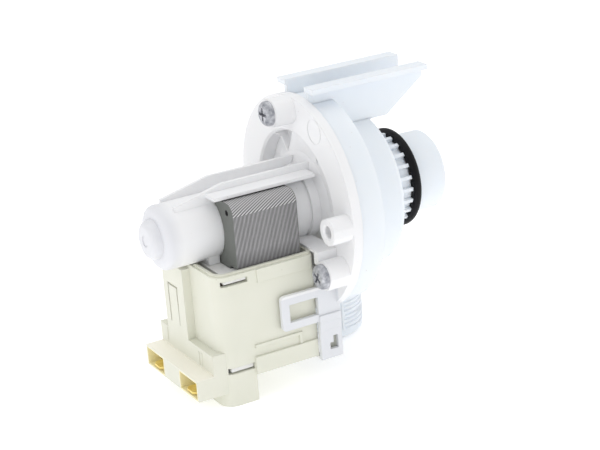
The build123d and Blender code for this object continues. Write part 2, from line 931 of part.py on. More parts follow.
cover_ring_radius = cover_groove_width / 2
with BuildPart() as cover_seal:
    with BuildSketch(along()):
        with Locations((cover_groove_at + cover_ring_radius, cover_seat_radius - cover_ring_radius)):
            Circle(cover_ring_radius)
    revolve(axis=motor_axis)
finish(cover_seal.part, "cover_seal")


# Pan head screws that hold the flange to the volute
with BuildPart() as flange_screws:
    with BuildSketch(across(-screw_boss_height)):
        with PolarLocations(screw_circle_radius, screw_count, start_angle=screw_angle):
            Circle(screw_head_radius)
    extrude(amount=-screw_head_height)
    fillet(flange_screws.edges().group_by(Axis.X)[0], radius=screw_head_rounding)
    with BuildSketch(across(-screw_boss_height)):
        with PolarLocations(screw_circle_radius, screw_count, start_angle=screw_angle):
            Circle(screw_radius)
    extrude(amount=screw_length)
    with BuildSketch(across(-screw_boss_height - screw_head_height)):
        with PolarLocations(screw_circle_radius, screw_count, start_angle=screw_angle):
            Rectangle(screw_slot_length, screw_slot_width)
            Rectangle(screw_slot_width, screw_slot_length)
    extrude(amount=screw_slot_depth, mode=Mode.SUBTRACT)
finish(flange_screws.part, "flange_screws")


# Laminated stator core: two pole heads round the can, two legs and the yoke below
with BuildPart() as stator_core:
    with BuildSketch(across(-core_start)) as lamination:
        corners((-core_half_width, -pole_bottom_drop), (core_half_width, core_top))
        fillet(lamination.vertices().group_by(Axis.Y)[-1], radius=core_rounding)
        corners((-leg_outer, -core_bottom_drop), (leg_outer, -pole_bottom_drop))
        corners((-leg_inner, -yoke_top_drop), (leg_inner, -pole_bottom_drop), mode=Mode.SUBTRACT)
        Circle(core_bore_radius, mode=Mode.SUBTRACT)
        corners((-pole_gap_half, 0), (pole_gap_half, core_top), mode=Mode.SUBTRACT)
        with Locations((-core_hole_offset, core_hole_height), (core_hole_offset, core_hole_height)):
            Circle(core_hole_radius, mode=Mode.SUBTRACT)
    extrude(amount=core_start - core_end)
finish(stator_core.part, "stator_core")


# Coil housing: open topped shell round both coils, with the terminal block on its outer end
with BuildPart() as coil_housing:
    with BuildSketch(level(-coil_bottom_drop)) as shell:
        corners((-coil_start, -coil_half_width), (-coil_end, coil_half_width))
        fillet(shell.vertices().group_by(Axis.X)[0], radius=coil_rounding)
        fillet(shell.vertices().group_by(Axis.X)[-1], radius=coil_end_rounding)
    extrude(amount=coil_bottom_drop - coil_rim_drop)
    with BuildSketch(level(-axis_height)) as foot:
        corners((-coil_start, -coil_half_width), (-foot_reach, coil_half_width))
        fillet(foot.vertices().group_by(Axis.X)[0], radius=coil_rounding)
    extrude(amount=axis_height - coil_bottom_drop + coil_wall)
    with BuildSketch(level(-coil_rim_drop)) as lip:
        corners(
            (-coil_inner_start - coil_lip_thickness, -coil_inner_half - coil_lip_thickness),
            (-coil_end, coil_inner_half + coil_lip_thickness),
        )
        fillet(lip.vertices().group_by(Axis.X)[0], radius=coil_rounding - coil_wall + coil_lip_thickness)
        fillet(lip.vertices().group_by(Axis.X)[-1], radius=coil_end_rounding)
    extrude(amount=coil_rim_drop - coil_lip_drop)

    # Latch panel, step and terminal block on the outer end
    slab(
        across(-coil_start - panel_depth),
        (panel_low_side, -step_top_drop - overrun),
        (panel_high_side, -panel_top_drop),
        panel_depth + coil_wall / 2,
    )
    slab(
        across(-coil_start - panel_depth),
        (-step_half_width, -block_top_drop),
        (step_half_width, -step_top_drop),
        panel_depth + coil_rounding,
    )
    slab(
        across(-block_reach),
        (-step_half_width, -block_bottom_drop),
        (step_half_width, -block_top_drop),
        block_reach - coil_start + coil_rounding,
    )

    # Bands, hems and ridges on both long faces
    face_end = -coil_end - coil_end_rounding
    for side in (-1, 1):
        for low, high, depth in (
            ((-band_start, -band_bottom_drop), (face_end, -coil_rim_drop), band_depth),
            ((-hem_start, -hem_bottom_drop), (face_end, -hem_top_drop), hem_depth),
            ((-ridge_start, -ridge_drop - ridge_width), (-ridge_end, -ridge_drop), ridge_depth),
            ((-ridge_end - ridge_width, -hem_top_drop), (-ridge_end, -ridge_drop), ridge_depth),
        ):
            face_inner = side * (coil_half_width - coil_wall / 2)
            face_outer = side * (coil_half_width + depth)
            slab(along(max(face_inner, face_outer)), low, high, abs(face_outer - face_inner))

    # Room for the coils, and for the terminal arms in the foot
    with BuildSketch(level(-coil_floor_drop)) as well:
        corners((-coil_inner_start, -coil_inner_half), (-coil_inner_end, coil_inner_half))
        fillet(well.vertices().group_by(Axis.X)[0], radius=coil_rounding - coil_wall)
        fillet(well.vertices().group_by(Axis.X)[-1], radius=coil_end_rounding)
    extrude(amount=coil_floor_drop, mode=Mode.SUBTRACT)
    with BuildSketch(level(coil_wall - axis_height)) as foot_well:
        corners((-coil_inner_start, -coil_inner_half), (-foot_reach - coil_wall, coil_inner_half))
        fillet(foot_well.vertices(), radius=coil_rounding - coil_wall)
    extrude(amount=axis_height - coil_floor_drop, mode=Mode.SUBTRACT)

    # Terminal sockets with the slots that the blades come through
    for side in (-1, 1):
        socket_sides = sorted((side * socket_inner, side * socket_outer))
        slab(
            across(-block_reach - overrun),
            (socket_sides[0], -socket_bottom_drop),
            (socket_sides[1], -socket_top_drop),
            socket_depth + overrun,
            mode=Mode.SUBTRACT,
        )
        slab(
            across(-block_reach),
            (
                side * socket_middle - blade_width / 2 - slip_gap,
                -blade_drop - blade_thickness / 2 - slip_gap,
            ),
            (
                side * socket_middle + blade_width / 2 + slip_gap,
                -blade_drop + blade_thickness / 2 + slip_gap,
            ),
            block_reach - coil_inner_start + overrun,
            mode=Mode.SUBTRACT,
        )

    # Vent slots at the outer corners, above and below the coils
    for side in (-1, 1):
        slot_inner = side * (coil_half_width - vent_corner_depth)
        slot_outer = side * (coil_half_width + overrun)
        for top_drop, height in ((vent_top_drop, vent_height), (vent_low_top_drop, vent_low_height)):
            slab(
                level(-top_drop - height),
                (-vent_start, min(slot_inner, slot_outer)),
                (-vent_reach, max(slot_inner, slot_outer)),
                height,
                mode=Mode.SUBTRACT,
            )

    # Groove over and beside the latch tongue, and notches where the can and collar pass
    for edge_side, top_width, tip_width in (
        (tongue_low_side, tongue_wedge_top, tongue_wedge_tip),
        (tongue_high_side, tongue_slot_width, tongue_slot_width),
    ):
        with BuildSketch(across(-coil_start - panel_depth)):
            outline(
                [
                    (edge_side - top_width / 2, -tongue_top_drop),
                    (edge_side + top_width / 2, -tongue_top_drop),
                    (edge_side + tip_width / 2, -tongue_bottom_drop),
                    (edge_side - tip_width / 2, -tongue_bottom_drop),
                ]
            )
        extrude(amount=tongue_slot_depth, mode=Mode.SUBTRACT)
    slab(
        across(-coil_start - panel_depth),
        (tongue_low_side, -tongue_top_drop - tongue_slot_width),
        (tongue_high_side, -tongue_top_drop),
        tongue_slot_depth,
        mode=Mode.SUBTRACT,
    )
    bush(-coil_start - overrun, -coil_inner_start + overrun, 0, can_radius + part_gap, mode=Mode.SUBTRACT)
    bush(-coil_inner_end - overrun, -coil_end + overrun, 0, collar_radius + part_gap, mode=Mode.SUBTRACT)
finish(coil_housing.part, "coil_housing")


# One bobbin, coil and blade terminal for each leg of the core
for side, name in ((-1, "left"), (1, "right")):
    leg_middle = side * (leg_inner + leg_outer) / 2
    core_middle = -(core_start + core_end) / 2
    hole_length = core_start - core_end + 2 * slip_gap
    hole_width = leg_outer - leg_inner + 2 * slip_gap
    flange_sides = sorted((side * bobbin_middle_gap, side * bobbin_outer))
    blade_middle = side * socket_middle
    with BuildPart() as bobbin:
        with BuildSketch(level(-bobbin_low_drop)):
            with Locations((core_middle, leg_middle)):
                Rectangle(hole_length + 2 * bobbin_wall, hole_width + 2 * bobbin_wall)
        extrude(amount=bobbin_low_drop - bobbin_top_drop)
        for flange_drop, flange_height in (
            (bobbin_top_drop + bobbin_flange, bobbin_flange),
            (bobbin_low_drop, bobbin_low_flange),
        ):
            with BuildSketch(level(-flange_drop)) as flange_face:
                corners((-bobbin_start, flange_sides[0]), (-bobbin_end, flange_sides[1]))
                outer_side = flange_face.vertices().group_by(Axis.Y)[-1 if side > 0 else 0]
                fillet(outer_side, radius=bobbin_corner_radius)
            extrude(amount=flange_height)
        skirt_sides = sorted((side * (bobbin_outer - skirt_thickness), side * bobbin_outer))
        slab(
            level(-bobbin_low_drop - skirt_length),
            (-bobbin_start + bobbin_corner_radius, skirt_sides[0]),
            (-skirt_end, skirt_sides[1]),
            skirt_length,
        )
        slab(
            level(-arm_drop),
            (-arm_start, blade_middle - arm_width / 2),
            (-arm_end, blade_middle + arm_width / 2),
            arm_drop - bobbin_low_drop + bobbin_low_flange,
        )
        with BuildSketch(level(-bobbin_low_drop - overrun)):
            with Locations((core_middle, leg_middle)):
                Rectangle(hole_length, hole_width)
        extrude(amount=bobbin_low_drop - bobbin_top_drop + 2 * overrun, mode=Mode.SUBTRACT)
        slab(
            across(-arm_start - overrun),
            (blade_middle - blade_width / 2, -blade_drop - blade_thickness / 2),
            (blade_middle + blade_width / 2, -blade_drop + blade_thickness / 2),
            arm_start + overrun - blade_root,
            mode=Mode.SUBTRACT,
        )
        bush(-collar_start - part_gap, 0, 0, collar_radius + part_gap, mode=Mode.SUBTRACT)
    finish(bobbin.part, f"coil_bobbin_{name}")

    coil_sides = sorted((side * (bobbin_middle_gap + coil_inset), side * (bobbin_outer - coil_inset)))
    with BuildPart() as winding:
        with BuildSketch(level(bobbin_low_flange - bobbin_low_drop)) as turns:
            corners((coil_inset - bobbin_start, coil_sides[0]), (-bobbin_end - coil_inset, coil_sides[1]))
            fillet(turns.vertices(), radius=bobbin_corner_radius - coil_inset)
            with Locations((core_middle, leg_middle)):
                Rectangle(
                    hole_length + 2 * bobbin_wall,
                    hole_width + 2 * bobbin_wall,
                    mode=Mode.SUBTRACT,
                )
        extrude(amount=bobbin_low_drop - bobbin_low_flange - bobbin_top_drop - bobbin_flange)
    finish(winding.part, f"coil_winding_{name}")

    with BuildPart() as terminal:
        with BuildSketch(level(-blade_drop - blade_thickness / 2)) as blade:
            corners(
                (-blade_tip, blade_middle - blade_width / 2),
                (-blade_root, blade_middle + blade_width / 2),
            )
            chamfer(blade.vertices().group_by(Axis.X)[0], length=blade_chamfer)
        extrude(amount=blade_thickness)
    finish(terminal.part, f"terminal_{name}")


# Bearings, each in a rubber seat
with BuildPart() as rear_bearing:
    bush(-rear_bearing_start, -rear_bearing_end, shaft_bore_radius, bearing_radius)
finish(rear_bearing.part, "rear_bearing")

with BuildPart() as rear_bearing_seat:
    bush(-pocket_end, -pocket_mouth, bearing_radius, bearing_seat_radius)
finish(rear_bearing_seat.part, "rear_bearing_seat")

with BuildPart() as front_bearing:
    bush(cover_bearing_at, front_bearing_end_at, shaft_bore_radius, bearing_radius)
finish(front_bearing.part, "front_bearing")

with BuildPart() as front_bearing_seat:
    bush(cover_bearing_at, chamber_at - cover_lip_thickness, bearing_radius, bearing_seat_radius)
finish(front_bearing_seat.part, "front_bearing_seat")

with BuildPart() as bearing_cover:
    turned(
        [
            (cover_start_at, bearing_seat_radius),
            (cover_start_at, cover_hub_radius),
            (cover_groove_at, cover_hub_radius),
            (cover_groove_at, cover_hub_radius - cover_groove_depth),
            (cover_groove_at + cover_groove_width, cover_hub_radius - cover_groove_depth),
            (cover_groove_at + cover_groove_width, cover_hub_radius),
            (chamber_at - cover_flange_thickness, cover_hub_radius),
            (chamber_at - cover_flange_thickness, cover_flange_radius),
            (chamber_at, cover_flange_radius),
            (chamber_at, cover_lip_bore),
            (chamber_at - cover_lip_thickness, cover_lip_bore),
            (chamber_at - cover_lip_thickness, bearing_seat_radius),
        ]
    )
finish(bearing_cover.part, "bearing_cover")


# Rotor: shaft, ring magnet, the plastic sleeve that carries it, washers and the driving dog
rear_washer_start = pocket_mouth - part_gap
front_washer_at = cover_bearing_at - part_gap - washer_thickness
sleeve_start = rear_washer_start - washer_thickness
with BuildPart() as rotor_shaft:
    bush(shaft_end_gap - pocket_end, shaft_nose_at, 0, shaft_radius)
finish(rotor_shaft.part, "rotor_shaft")

with BuildPart() as rotor_magnet:
    bush(-magnet_back, -magnet_front, magnet_bore_radius, magnet_radius)
finish(rotor_magnet.part, "rotor_magnet")

with BuildPart() as rotor_sleeve:
    turned(
        [
            (-sleeve_start, shaft_radius),
            (-sleeve_start, sleeve_tail_radius),
            (-magnet_back - sleeve_flange_thickness, sleeve_tail_radius),
            (-magnet_back - sleeve_flange_thickness, sleeve_flange_radius),
            (-magnet_back, sleeve_flange_radius),
            (-magnet_back, magnet_bore_radius),
            (-magnet_front, magnet_bore_radius),
            (-magnet_front, sleeve_flange_radius),
            (sleeve_flange_thickness - magnet_front, sleeve_flange_radius),
            (sleeve_flange_thickness - magnet_front, sleeve_tail_radius),
            (front_washer_at, sleeve_tail_radius),
            (front_washer_at, shaft_radius),
        ]
    )
finish(rotor_sleeve.part, "rotor_sleeve")

with BuildPart() as thrust_washers:
    bush(-rear_washer_start, -sleeve_start, shaft_radius, washer_radius)
    bush(front_washer_at, front_washer_at + washer_thickness, shaft_radius, washer_radius)
finish(thrust_washers.part, "thrust_washers")

with BuildPart() as drive_dog:
    sector(dog_at, dog_length, shaft_radius + running_gap, cup_bore_radius - dog_gap, 90)
    bush(dog_at, dog_at + dog_length, 0, dog_hub_radius)
    bush(dog_at, dog_at + dog_length, 0, shaft_radius, mode=Mode.SUBTRACT)
finish(drive_dog.part, "drive_dog")


# Impeller: back plate, hub cup with its inner lug, and straight vanes that pump either way round
with BuildPart() as impeller:
    turned(
        [
            (impeller_start_at, cup_bore_radius),
            (impeller_start_at, impeller_plate_radius),
            (impeller_start_at + impeller_plate, impeller_plate_radius),
            (impeller_start_at + impeller_plate, cup_radius),
            (cup_end_at, cup_radius),
            (cup_end_at, shaft_bore_radius),
            (cup_floor_at, shaft_bore_radius),
            (cup_floor_at, cup_bore_radius),
        ]
    )
    sector(
        dog_at,
        cup_floor_at - dog_at,
        dog_hub_radius + dog_gap,
        cup_bore_radius + cup_wall / 2,
        270,
    )
    for index in range(vane_count):
        turn = radians(index * 360 / vane_count)
        vane_plane = Plane(
            origin=(axis_shift, 0, axis_height),
            x_dir=(1, 0, 0),
            z_dir=(0, -sin(turn), cos(turn)),
        )
        with BuildSketch(vane_plane):
            outline(
                [
                    (impeller_start_at, cup_bore_radius + cup_wall / 2),
                    (impeller_start_at, impeller_plate_radius),
                    (impeller_start_at + impeller_plate + vane_corner, impeller_radius),
                    (impeller_end_at - vane_corner, impeller_radius),
                    (impeller_end_at, impeller_radius - vane_corner),
                    (vane_nose_at, vane_nose_radius),
                    (cup_end_at, cup_bore_radius + cup_wall / 2),
                ]
            )
        extrude(amount=vane_thickness / 2, both=True)
finish(impeller.part, "impeller")

with BuildPart() as impeller_cap:
    bush(impeller_start_at, impeller_start_at + cap_thickness, shaft_bore_radius, cup_bore_radius)
finish(impeller_cap.part, "impeller_cap")
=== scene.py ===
"""Washer drain pump: finishes, small moulded details, studio and camera."""

import logging
import math
from dataclasses import dataclass, field
from enum import Enum

import bmesh
import bpy
from mathutils import Matrix, Vector


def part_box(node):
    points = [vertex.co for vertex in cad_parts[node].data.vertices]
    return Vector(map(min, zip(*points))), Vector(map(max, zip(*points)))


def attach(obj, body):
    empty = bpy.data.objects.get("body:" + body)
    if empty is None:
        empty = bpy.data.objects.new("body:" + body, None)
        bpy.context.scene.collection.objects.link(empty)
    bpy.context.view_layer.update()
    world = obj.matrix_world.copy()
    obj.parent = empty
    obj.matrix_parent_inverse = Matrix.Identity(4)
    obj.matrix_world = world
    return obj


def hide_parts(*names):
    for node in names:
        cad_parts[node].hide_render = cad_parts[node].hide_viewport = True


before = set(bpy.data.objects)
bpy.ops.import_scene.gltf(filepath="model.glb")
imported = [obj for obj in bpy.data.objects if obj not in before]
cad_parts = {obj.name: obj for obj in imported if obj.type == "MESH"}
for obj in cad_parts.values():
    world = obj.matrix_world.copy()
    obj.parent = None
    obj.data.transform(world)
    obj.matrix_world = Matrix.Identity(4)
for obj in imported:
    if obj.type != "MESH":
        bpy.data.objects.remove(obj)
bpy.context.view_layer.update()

Tone = tuple[float, float, float, float]
Triple = tuple[float, float, float]

LOG = logging.getLogger("drain_pump")
MM = 0.001
WELD = 1e-6
SMOOTH_ANGLE = math.radians(35)


@dataclass(frozen=True)
class Datum:
    """Motor axis and flange face, read from the frame."""

    flange: float = 3.6 * MM

    @property
    def height(self) -> float:
        """Height of the motor axis."""
        low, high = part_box("inlet_o_ring")
        return (low[2] + high[2]) / 2

    @property
    def face(self) -> float:
        """X of the flange's motor side."""
        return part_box("flange_seal")[0][0] - self.flange

    def at(self, along: float, side: float, rise: float) -> Vector:
        """Point given from the flange face and the motor axis.

        Args:
            along: distance towards the inlet.
            side: distance towards the outlet.
            rise: height above the axis.

        Returns:
            The point in the frame.
        """
        return Vector((self.face + along, side, self.height + rise))


DATUM = Datum()


class Link:
    """Socket or number that builds Math nodes when used in an expression."""

    def __init__(self, tree: bpy.types.NodeTree, value: bpy.types.NodeSocket | float) -> None:
        """Keep the tree and the socket or number.

        Args:
            tree: node tree that new Math nodes go into.
            value: output socket or plain number.
        """
        self.tree = tree
        self.value = value

    def _math(self, operation: str, *terms: "Link | float", clamp: bool = False) -> "Link":
        """Add one Math node.

        Args:
            operation: Math node operation.
            terms: links or numbers, in input order.
            clamp: whether the result is held between 0 and 1.

        Returns:
            Link to the node's result.
        """
        node = self.tree.nodes.new("ShaderNodeMath")
        node.operation = operation
        node.use_clamp = clamp
        for slot, term in zip(node.inputs, terms):
            raw = term.value if isinstance(term, Link) else term
            if isinstance(raw, (int, float)):
                slot.default_value = raw
            else:
                self.tree.links.new(raw, slot)
        return Link(self.tree, node.outputs[0])

    def __add__(self, other: "Link | float") -> "Link":
        """Sum."""
        return self._math("ADD", self, other)

    __radd__ = __add__

    def __sub__(self, other: "Link | float") -> "Link":
        """Difference."""
        return self._math("SUBTRACT", self, other)

    def __rsub__(self, other: "Link | float") -> "Link":
        """Difference with the link on the right."""
        return self._math("SUBTRACT", other, self)

    def __mul__(self, other: "Link | float") -> "Link":
        """Product."""
        return self._math("MULTIPLY", self, other)

    __rmul__ = __mul__

    def __truediv__(self, other: "Link | float") -> "Link":
        """Quotient."""
        return self._math("DIVIDE", self, other)

    def power(self, exponent: float) -> "Link":
        """Value raised to a power."""
        return self._math("POWER", self, exponent)

    def sine(self) -> "Link":
        """Sine of the value in radians."""
        return self._math("SINE", self)

    def absolute(self) -> "Link":
        """Absolute value."""
        return self._math("ABSOLUTE", self)

    def whole(self) -> "Link":
        """Largest whole number that is not above the value."""
        return self._math("FLOOR", self)

    def held(self) -> "Link":
        """Value held between 0 and 1."""
        return self._math("ADD", self, 0.0, clamp=True)

    def at_most(self, other: "Link | float") -> "Link":
        """Smaller of the value and another."""
        return self._math("MINIMUM", self, other)

    def at_least(self, other: "Link | float") -> "Link":
        """Larger of the value and another."""
        return self._math("MAXIMUM", self, other)


class Recipe:
    """Material under construction, with one way to add any node."""

    def __init__(self, name: str) -> None:
        """Start an empty node material with its shader and output.

        Args:
            name: name of the material.
        """
        self.material = bpy.data.materials.new(name)
        self.material.use_nodes = True
        self.tree = self.material.node_tree
        self.tree.nodes.clear()
        self.shader = self.tree.nodes.new("ShaderNodeBsdfPrincipled")
        output = self.tree.nodes.new("ShaderNodeOutputMaterial")
        self.tree.links.new(self.shader.outputs["BSDF"], output.inputs["Surface"])
        self.place = self.node("ShaderNodeTexCoord").outputs["Object"]

    def node(
        self, kind: str, settings: dict | None = None, inputs: dict | None = None
    ) -> bpy.types.Node:
        """Add any node.

        Args:
            kind: node type name.
            settings: attributes set before the inputs.
            inputs: socket names with values, links or sockets.

        Returns:
            The new node.
        """
        made = self.tree.nodes.new(kind)
        for key, value in (settings or {}).items():
            setattr(made, key, value)
        for key, value in (inputs or {}).items():
            self.feed(made.inputs[key], value)
        return made

    def feed(
        self, slot: bpy.types.NodeSocket, value: Link | bpy.types.NodeSocket | tuple | float
    ) -> None:
        """Set or link one socket.

        Args:
            slot: input socket.
            value: number, colour, link or output socket.
        """
        raw = value.value if isinstance(value, Link) else value
        if isinstance(raw, bpy.types.NodeSocket):
            self.tree.links.new(raw, slot)
        else:
            slot.default_value = raw

    def set(self, **values: Link | bpy.types.NodeSocket | tuple | float) -> None:
        """Set or link the shader's sockets, underscores standing for spaces."""
        for key, value in values.items():
            self.feed(self.shader.inputs[key.replace("_", " ")], value)

    def axes(self) -> tuple[Link, Link, Link]:
        """Object coordinates in metres as three links."""
        split = self.node("ShaderNodeSeparateXYZ", inputs={"Vector": self.place})
        return tuple(Link(self.tree, split.outputs[axis]) for axis in ("X", "Y", "Z"))

    def noise(
        self, size: float, detail: float = 3.0, rough: float = 0.55, stretch: Triple = (1, 1, 1)
    ) -> Link:
        """Noise between 0 and 1 whose features have a real size.

        Args:
            size: feature size in metres.
            detail: octaves.
            rough: roughness of the octaves.
            stretch: scale along each axis.

        Returns:
            Link to the noise.
        """
        mapping = self.node(
            "ShaderNodeMapping",
            inputs={"Vector": self.place, "Scale": tuple(share / size for share in stretch)},
        )
        made = self.node(
            "ShaderNodeTexNoise",
            inputs={
                "Vector": mapping.outputs["Vector"],
                "Scale": 1.0,
                "Detail": detail,
                "Roughness": rough,
            },
        )
        return Link(self.tree, made.outputs["Fac"])

    def within(self, value: Link, low: float, high: float, soft: float) -> Link:
        """Mask of the stretch between two places, with soft ends.

        Args:
            value: coordinate.
            low: where the stretch starts.
            high: where it ends.
            soft: length of each soft end.

        Returns:
            Link that is 1 inside and 0 outside.
        """
        return ((value - low) / soft).held() * ((high - value) / soft).held()

    def blend(
        self,
        factor: Link | float,
        low: Tone | bpy.types.NodeSocket,
        high: Tone | bpy.types.NodeSocket,
    ) -> bpy.types.NodeSocket:
        """Colour mixed between two colours.

        Args:
            factor: 0 for low and 1 for high.
            low: colour or socket.
            high: colour or socket.

        Returns:
            Colour socket.
        """
        made = self.node("ShaderNodeMix", {"data_type": "RGBA"})
        self.feed(made.inputs[0], factor)
        self.feed(made.inputs[6], low)
        self.feed(made.inputs[7], high)
        return made.outputs[2]

    def relief(self, height: Link, depth: float, soften: float = 0.0) -> None:
        """Bump from a height, over edges softened by a small radius.

        Args:
            height: height between 0 and 1.
            depth: metres that a height of 1 stands for.
            soften: radius that rounds sharp edges, in metres.
        """
        inputs = {"Height": height, "Distance": depth}
        if soften:
            edge = self.node("ShaderNodeBevel", {"samples": 6}, {"Radius": soften})
            inputs["Normal"] = edge.outputs["Normal"]
        bump = self.node("ShaderNodeBump", inputs=inputs)
        self.set(Normal=bump.outputs["Normal"])


def colour(red: float, green: float, blue: float) -> Tone:
    """Linear colour from display values.

    Args:
        red: 0 to 255.
        green: 0 to 255.
        blue: 0 to 255.

    Returns:
        Linear RGBA.
    """
    gamma, offset, knee, slope = 2.4, 0.055, 0.04045, 12.92
    linear = []
    for value in (red / 255, green / 255, blue / 255):
        raised = ((value + offset) / (1 + offset)) ** gamma
        linear.append(value / slope if value <= knee else raised)
    return (*linear, 1.0)


@dataclass(frozen=True)
class PaintedLight:
    """Boxed zone of painted light and shade, its tone standing for the light that falls there,
    alike on both sides of the axis.
    """

    low: Vector
    high: Vector
    tone: Tone
    soft: float = 0.3 * MM

    def mask(self, recipe: Recipe) -> Link:
        """Mask of the zone.

        Args:
            recipe: material under construction.

        Returns:
            Link that is 1 inside the zone.
        """
        x, y, z = recipe.axes()
        length = recipe.within(x, self.low[0], self.high[0], self.soft)
        height = recipe.within(z, self.low[2], self.high[2], self.soft)
        return length * height * recipe.within(y.absolute(), self.low[1], self.high[1], self.soft)


@dataclass(frozen=True)
class MouldedPlastic:
    """Satin moulded plastic with flow clouds, a faint texture, specks, soft edges and boxed zones
    of painted light and shade.
    """

    name: str
    tone: Tone
    shade: Tone
    roughness: float = 0.42
    grain: float = 0.35 * MM
    grain_depth: float = 0.02 * MM
    mottle: float = 3.15 * MM
    mottle_share: float = 0.4
    edge: float = 0.3 * MM
    cloud: float = 18 * MM
    cloud_start: float = 0.3
    cloud_gain: float = 1.6
    cloud_rough: float = 0.12
    grain_rough: float = 0.06
    refraction: float = 1.49
    glow: float = 0.12
    glow_reach: float = 1.2 * MM
    glow_radii: Triple = (1.0, 0.92, 0.86)
    speck: Tone = colour(176, 160, 138)
    speck_size: float = 1.1 * MM
    speck_start: float = 0.76
    speck_gain: float = 14.0
    speck_share: float = 0.35
    painted_light_zones: tuple[PaintedLight, ...] = ()

    def make(self) -> bpy.types.Material:
        """Build the material.

        Returns:
            The material.
        """
        recipe = Recipe(self.name)
        cloud = recipe.noise(self.cloud, detail=2)
        fine = recipe.noise(self.grain, detail=2)
        shading = ((cloud - self.cloud_start) * self.cloud_gain).held()
        tone = recipe.blend(shading, self.tone, self.shade)
        specks = recipe.noise(self.speck_size, detail=1)
        dirt = ((specks - self.speck_start) * self.speck_gain).held() * self.speck_share
        tone = recipe.blend(dirt, tone, self.speck)
        # Painted light and shade: each zone's tone is blended in over the plastic's own colour.
        for painted_zone in self.painted_light_zones:
            tone = recipe.blend(painted_zone.mask(recipe), tone, painted_zone.tone)
        recipe.set(
            Base_Color=tone,
            Roughness=self.roughness
            + (cloud - 0.5) * self.cloud_rough
            + (fine - 0.5) * self.grain_rough,
            IOR=self.refraction,
            Subsurface_Weight=self.glow,
            Subsurface_Scale=self.glow_reach,
            Subsurface_Radius=self.glow_radii,
        )
        mottle = recipe.noise(self.mottle, detail=2) * self.mottle_share
        recipe.relief(fine * (1 - self.mottle_share) + mottle, self.grain_depth, self.edge)
        return recipe.material


@dataclass(frozen=True)
class Laminations:
    """Edges of stamped steel sheets with slanting light streaks, a painted highlight on the
    rounded corner, painted shade near the foot, under the ledge and in the holes, and plain end
    faces.
    """

    name: str
    light: Tone
    dark: Tone
    end: Tone
    core: str
    holder: str
    rounding: float = 4.0 * MM
    shadow: float = 5.5 * MM
    ledge: float = 12.4 * MM
    hole_side: float = 14.7 * MM
    hole_rise: float = 8.2 * MM
    hole_radius: float = 1.1 * MM
    pitch: float = 1.6 * MM
    lean_side: float = 0.36
    lean_corner: float = 1.42
    sharpness: float = 1.3
    wander_size: float = 6 * MM
    wander: float = 0.3 * MM
    sheet: float = 0.5 * MM
    edge: float = 0.1 * MM
    burr: float = 0.5 * MM
    burr_depth: float = 0.05 * MM
    metallic: float = 0.35
    roughness: float = 0.52
    burr_rough: float = 0.18
    shade: float = 0.94
    foot_shade: float = 0.55
    hole_shade: float = 0.9

    def make(self) -> bpy.types.Material:
        """Build the material.

        Returns:
            The material.
        """
        recipe = Recipe(self.name)
        x, _, _ = recipe.axes()
        low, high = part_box(self.core)
        burr = recipe.noise(self.burr, detail=3, stretch=(3, 0.5, 0.5))
        tone = (self.streaks(recipe, burr) * self.shades(recipe)).held()
        sides = recipe.within(x, low[0] + self.edge, high[0] - self.edge, self.edge)
        recipe.set(
            Base_Color=recipe.blend(sides, self.end, recipe.blend(tone, self.dark, self.light)),
            Metallic=self.metallic,
            Roughness=self.roughness + burr * self.burr_rough,
        )
        recipe.relief(burr, self.burr_depth, soften=self.burr_depth)
        return recipe.material

    def streaks(self, recipe: Recipe, burr: Link) -> Link:
        """Slanting streaks, strong on the rounded corner and soft on the sides, with a painted
        highlight that lightens the corner towards its top.

        Args:
            recipe: material under construction.
            burr: noise of the sheets' edges.

        Returns:
            Link from 0 for dark to 1 for light.
        """
        x, y, z = recipe.axes()
        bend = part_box(self.core)[1][2] - self.rounding
        climb = (z - bend).at_least(0.0)
        lean = z.at_most(bend) * self.lean_side + (climb - y.absolute()) * self.lean_corner
        shift = recipe.noise(self.wander_size, detail=1) * self.wander
        phase = (x - lean + shift) * (2 * math.pi / self.pitch)
        wave = (phase.sine() * 0.5 + 0.5).power(self.sharpness)
        number = (x / self.sheet).whole()
        white = recipe.node("ShaderNodeTexWhiteNoise", {"noise_dimensions": "1D"}, {"W": number})
        own = Link(recipe.tree, white.outputs["Value"])
        # The streaks are the sheets' own pattern; the flat lift towards the corner's top, (1 -
        # fade) * 0.17, is a painted highlight where the lamps catch the rounding.
        fade = (1 - climb / self.rounding).held()
        side = wave * 0.15 + own * 0.04 + burr * 0.2 + 0.1
        corner = wave * (fade * 0.4 + 0.4) + (1 - fade) * 0.17 + burr * 0.12
        return side + (corner - side) * (climb / self.edge).held()

    def shades(self, recipe: Recipe) -> Link:
        """Painted shade near the foot, a painted shadow under the ledge and painted shade in the
        stamping holes.

        Args:
            recipe: material under construction.

        Returns:
            Link that is 1 where nothing is darkened.
        """
        _, y, z = recipe.axes()
        # Painted shade: darker towards the coil housing's top, a painted shadow under the ledge on
        # the near side, painted shade round the stamping holes.
        risen = ((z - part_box(self.holder)[1][2]) / self.shadow).held()
        foot = risen * self.foot_shade + (1 - self.foot_shade)
        under_ledge = 1 - recipe.within(y, -self.ledge, 0.0, self.edge * 4) * self.shade
        away = y.absolute() - self.hole_side
        above = z - DATUM.height - self.hole_rise
        distance = (away * away + above * above).power(0.5)
        off_hole = ((distance - self.hole_radius) / self.edge).held()
        return foot * under_ledge * (off_hole * self.hole_shade + (1 - self.hole_shade))


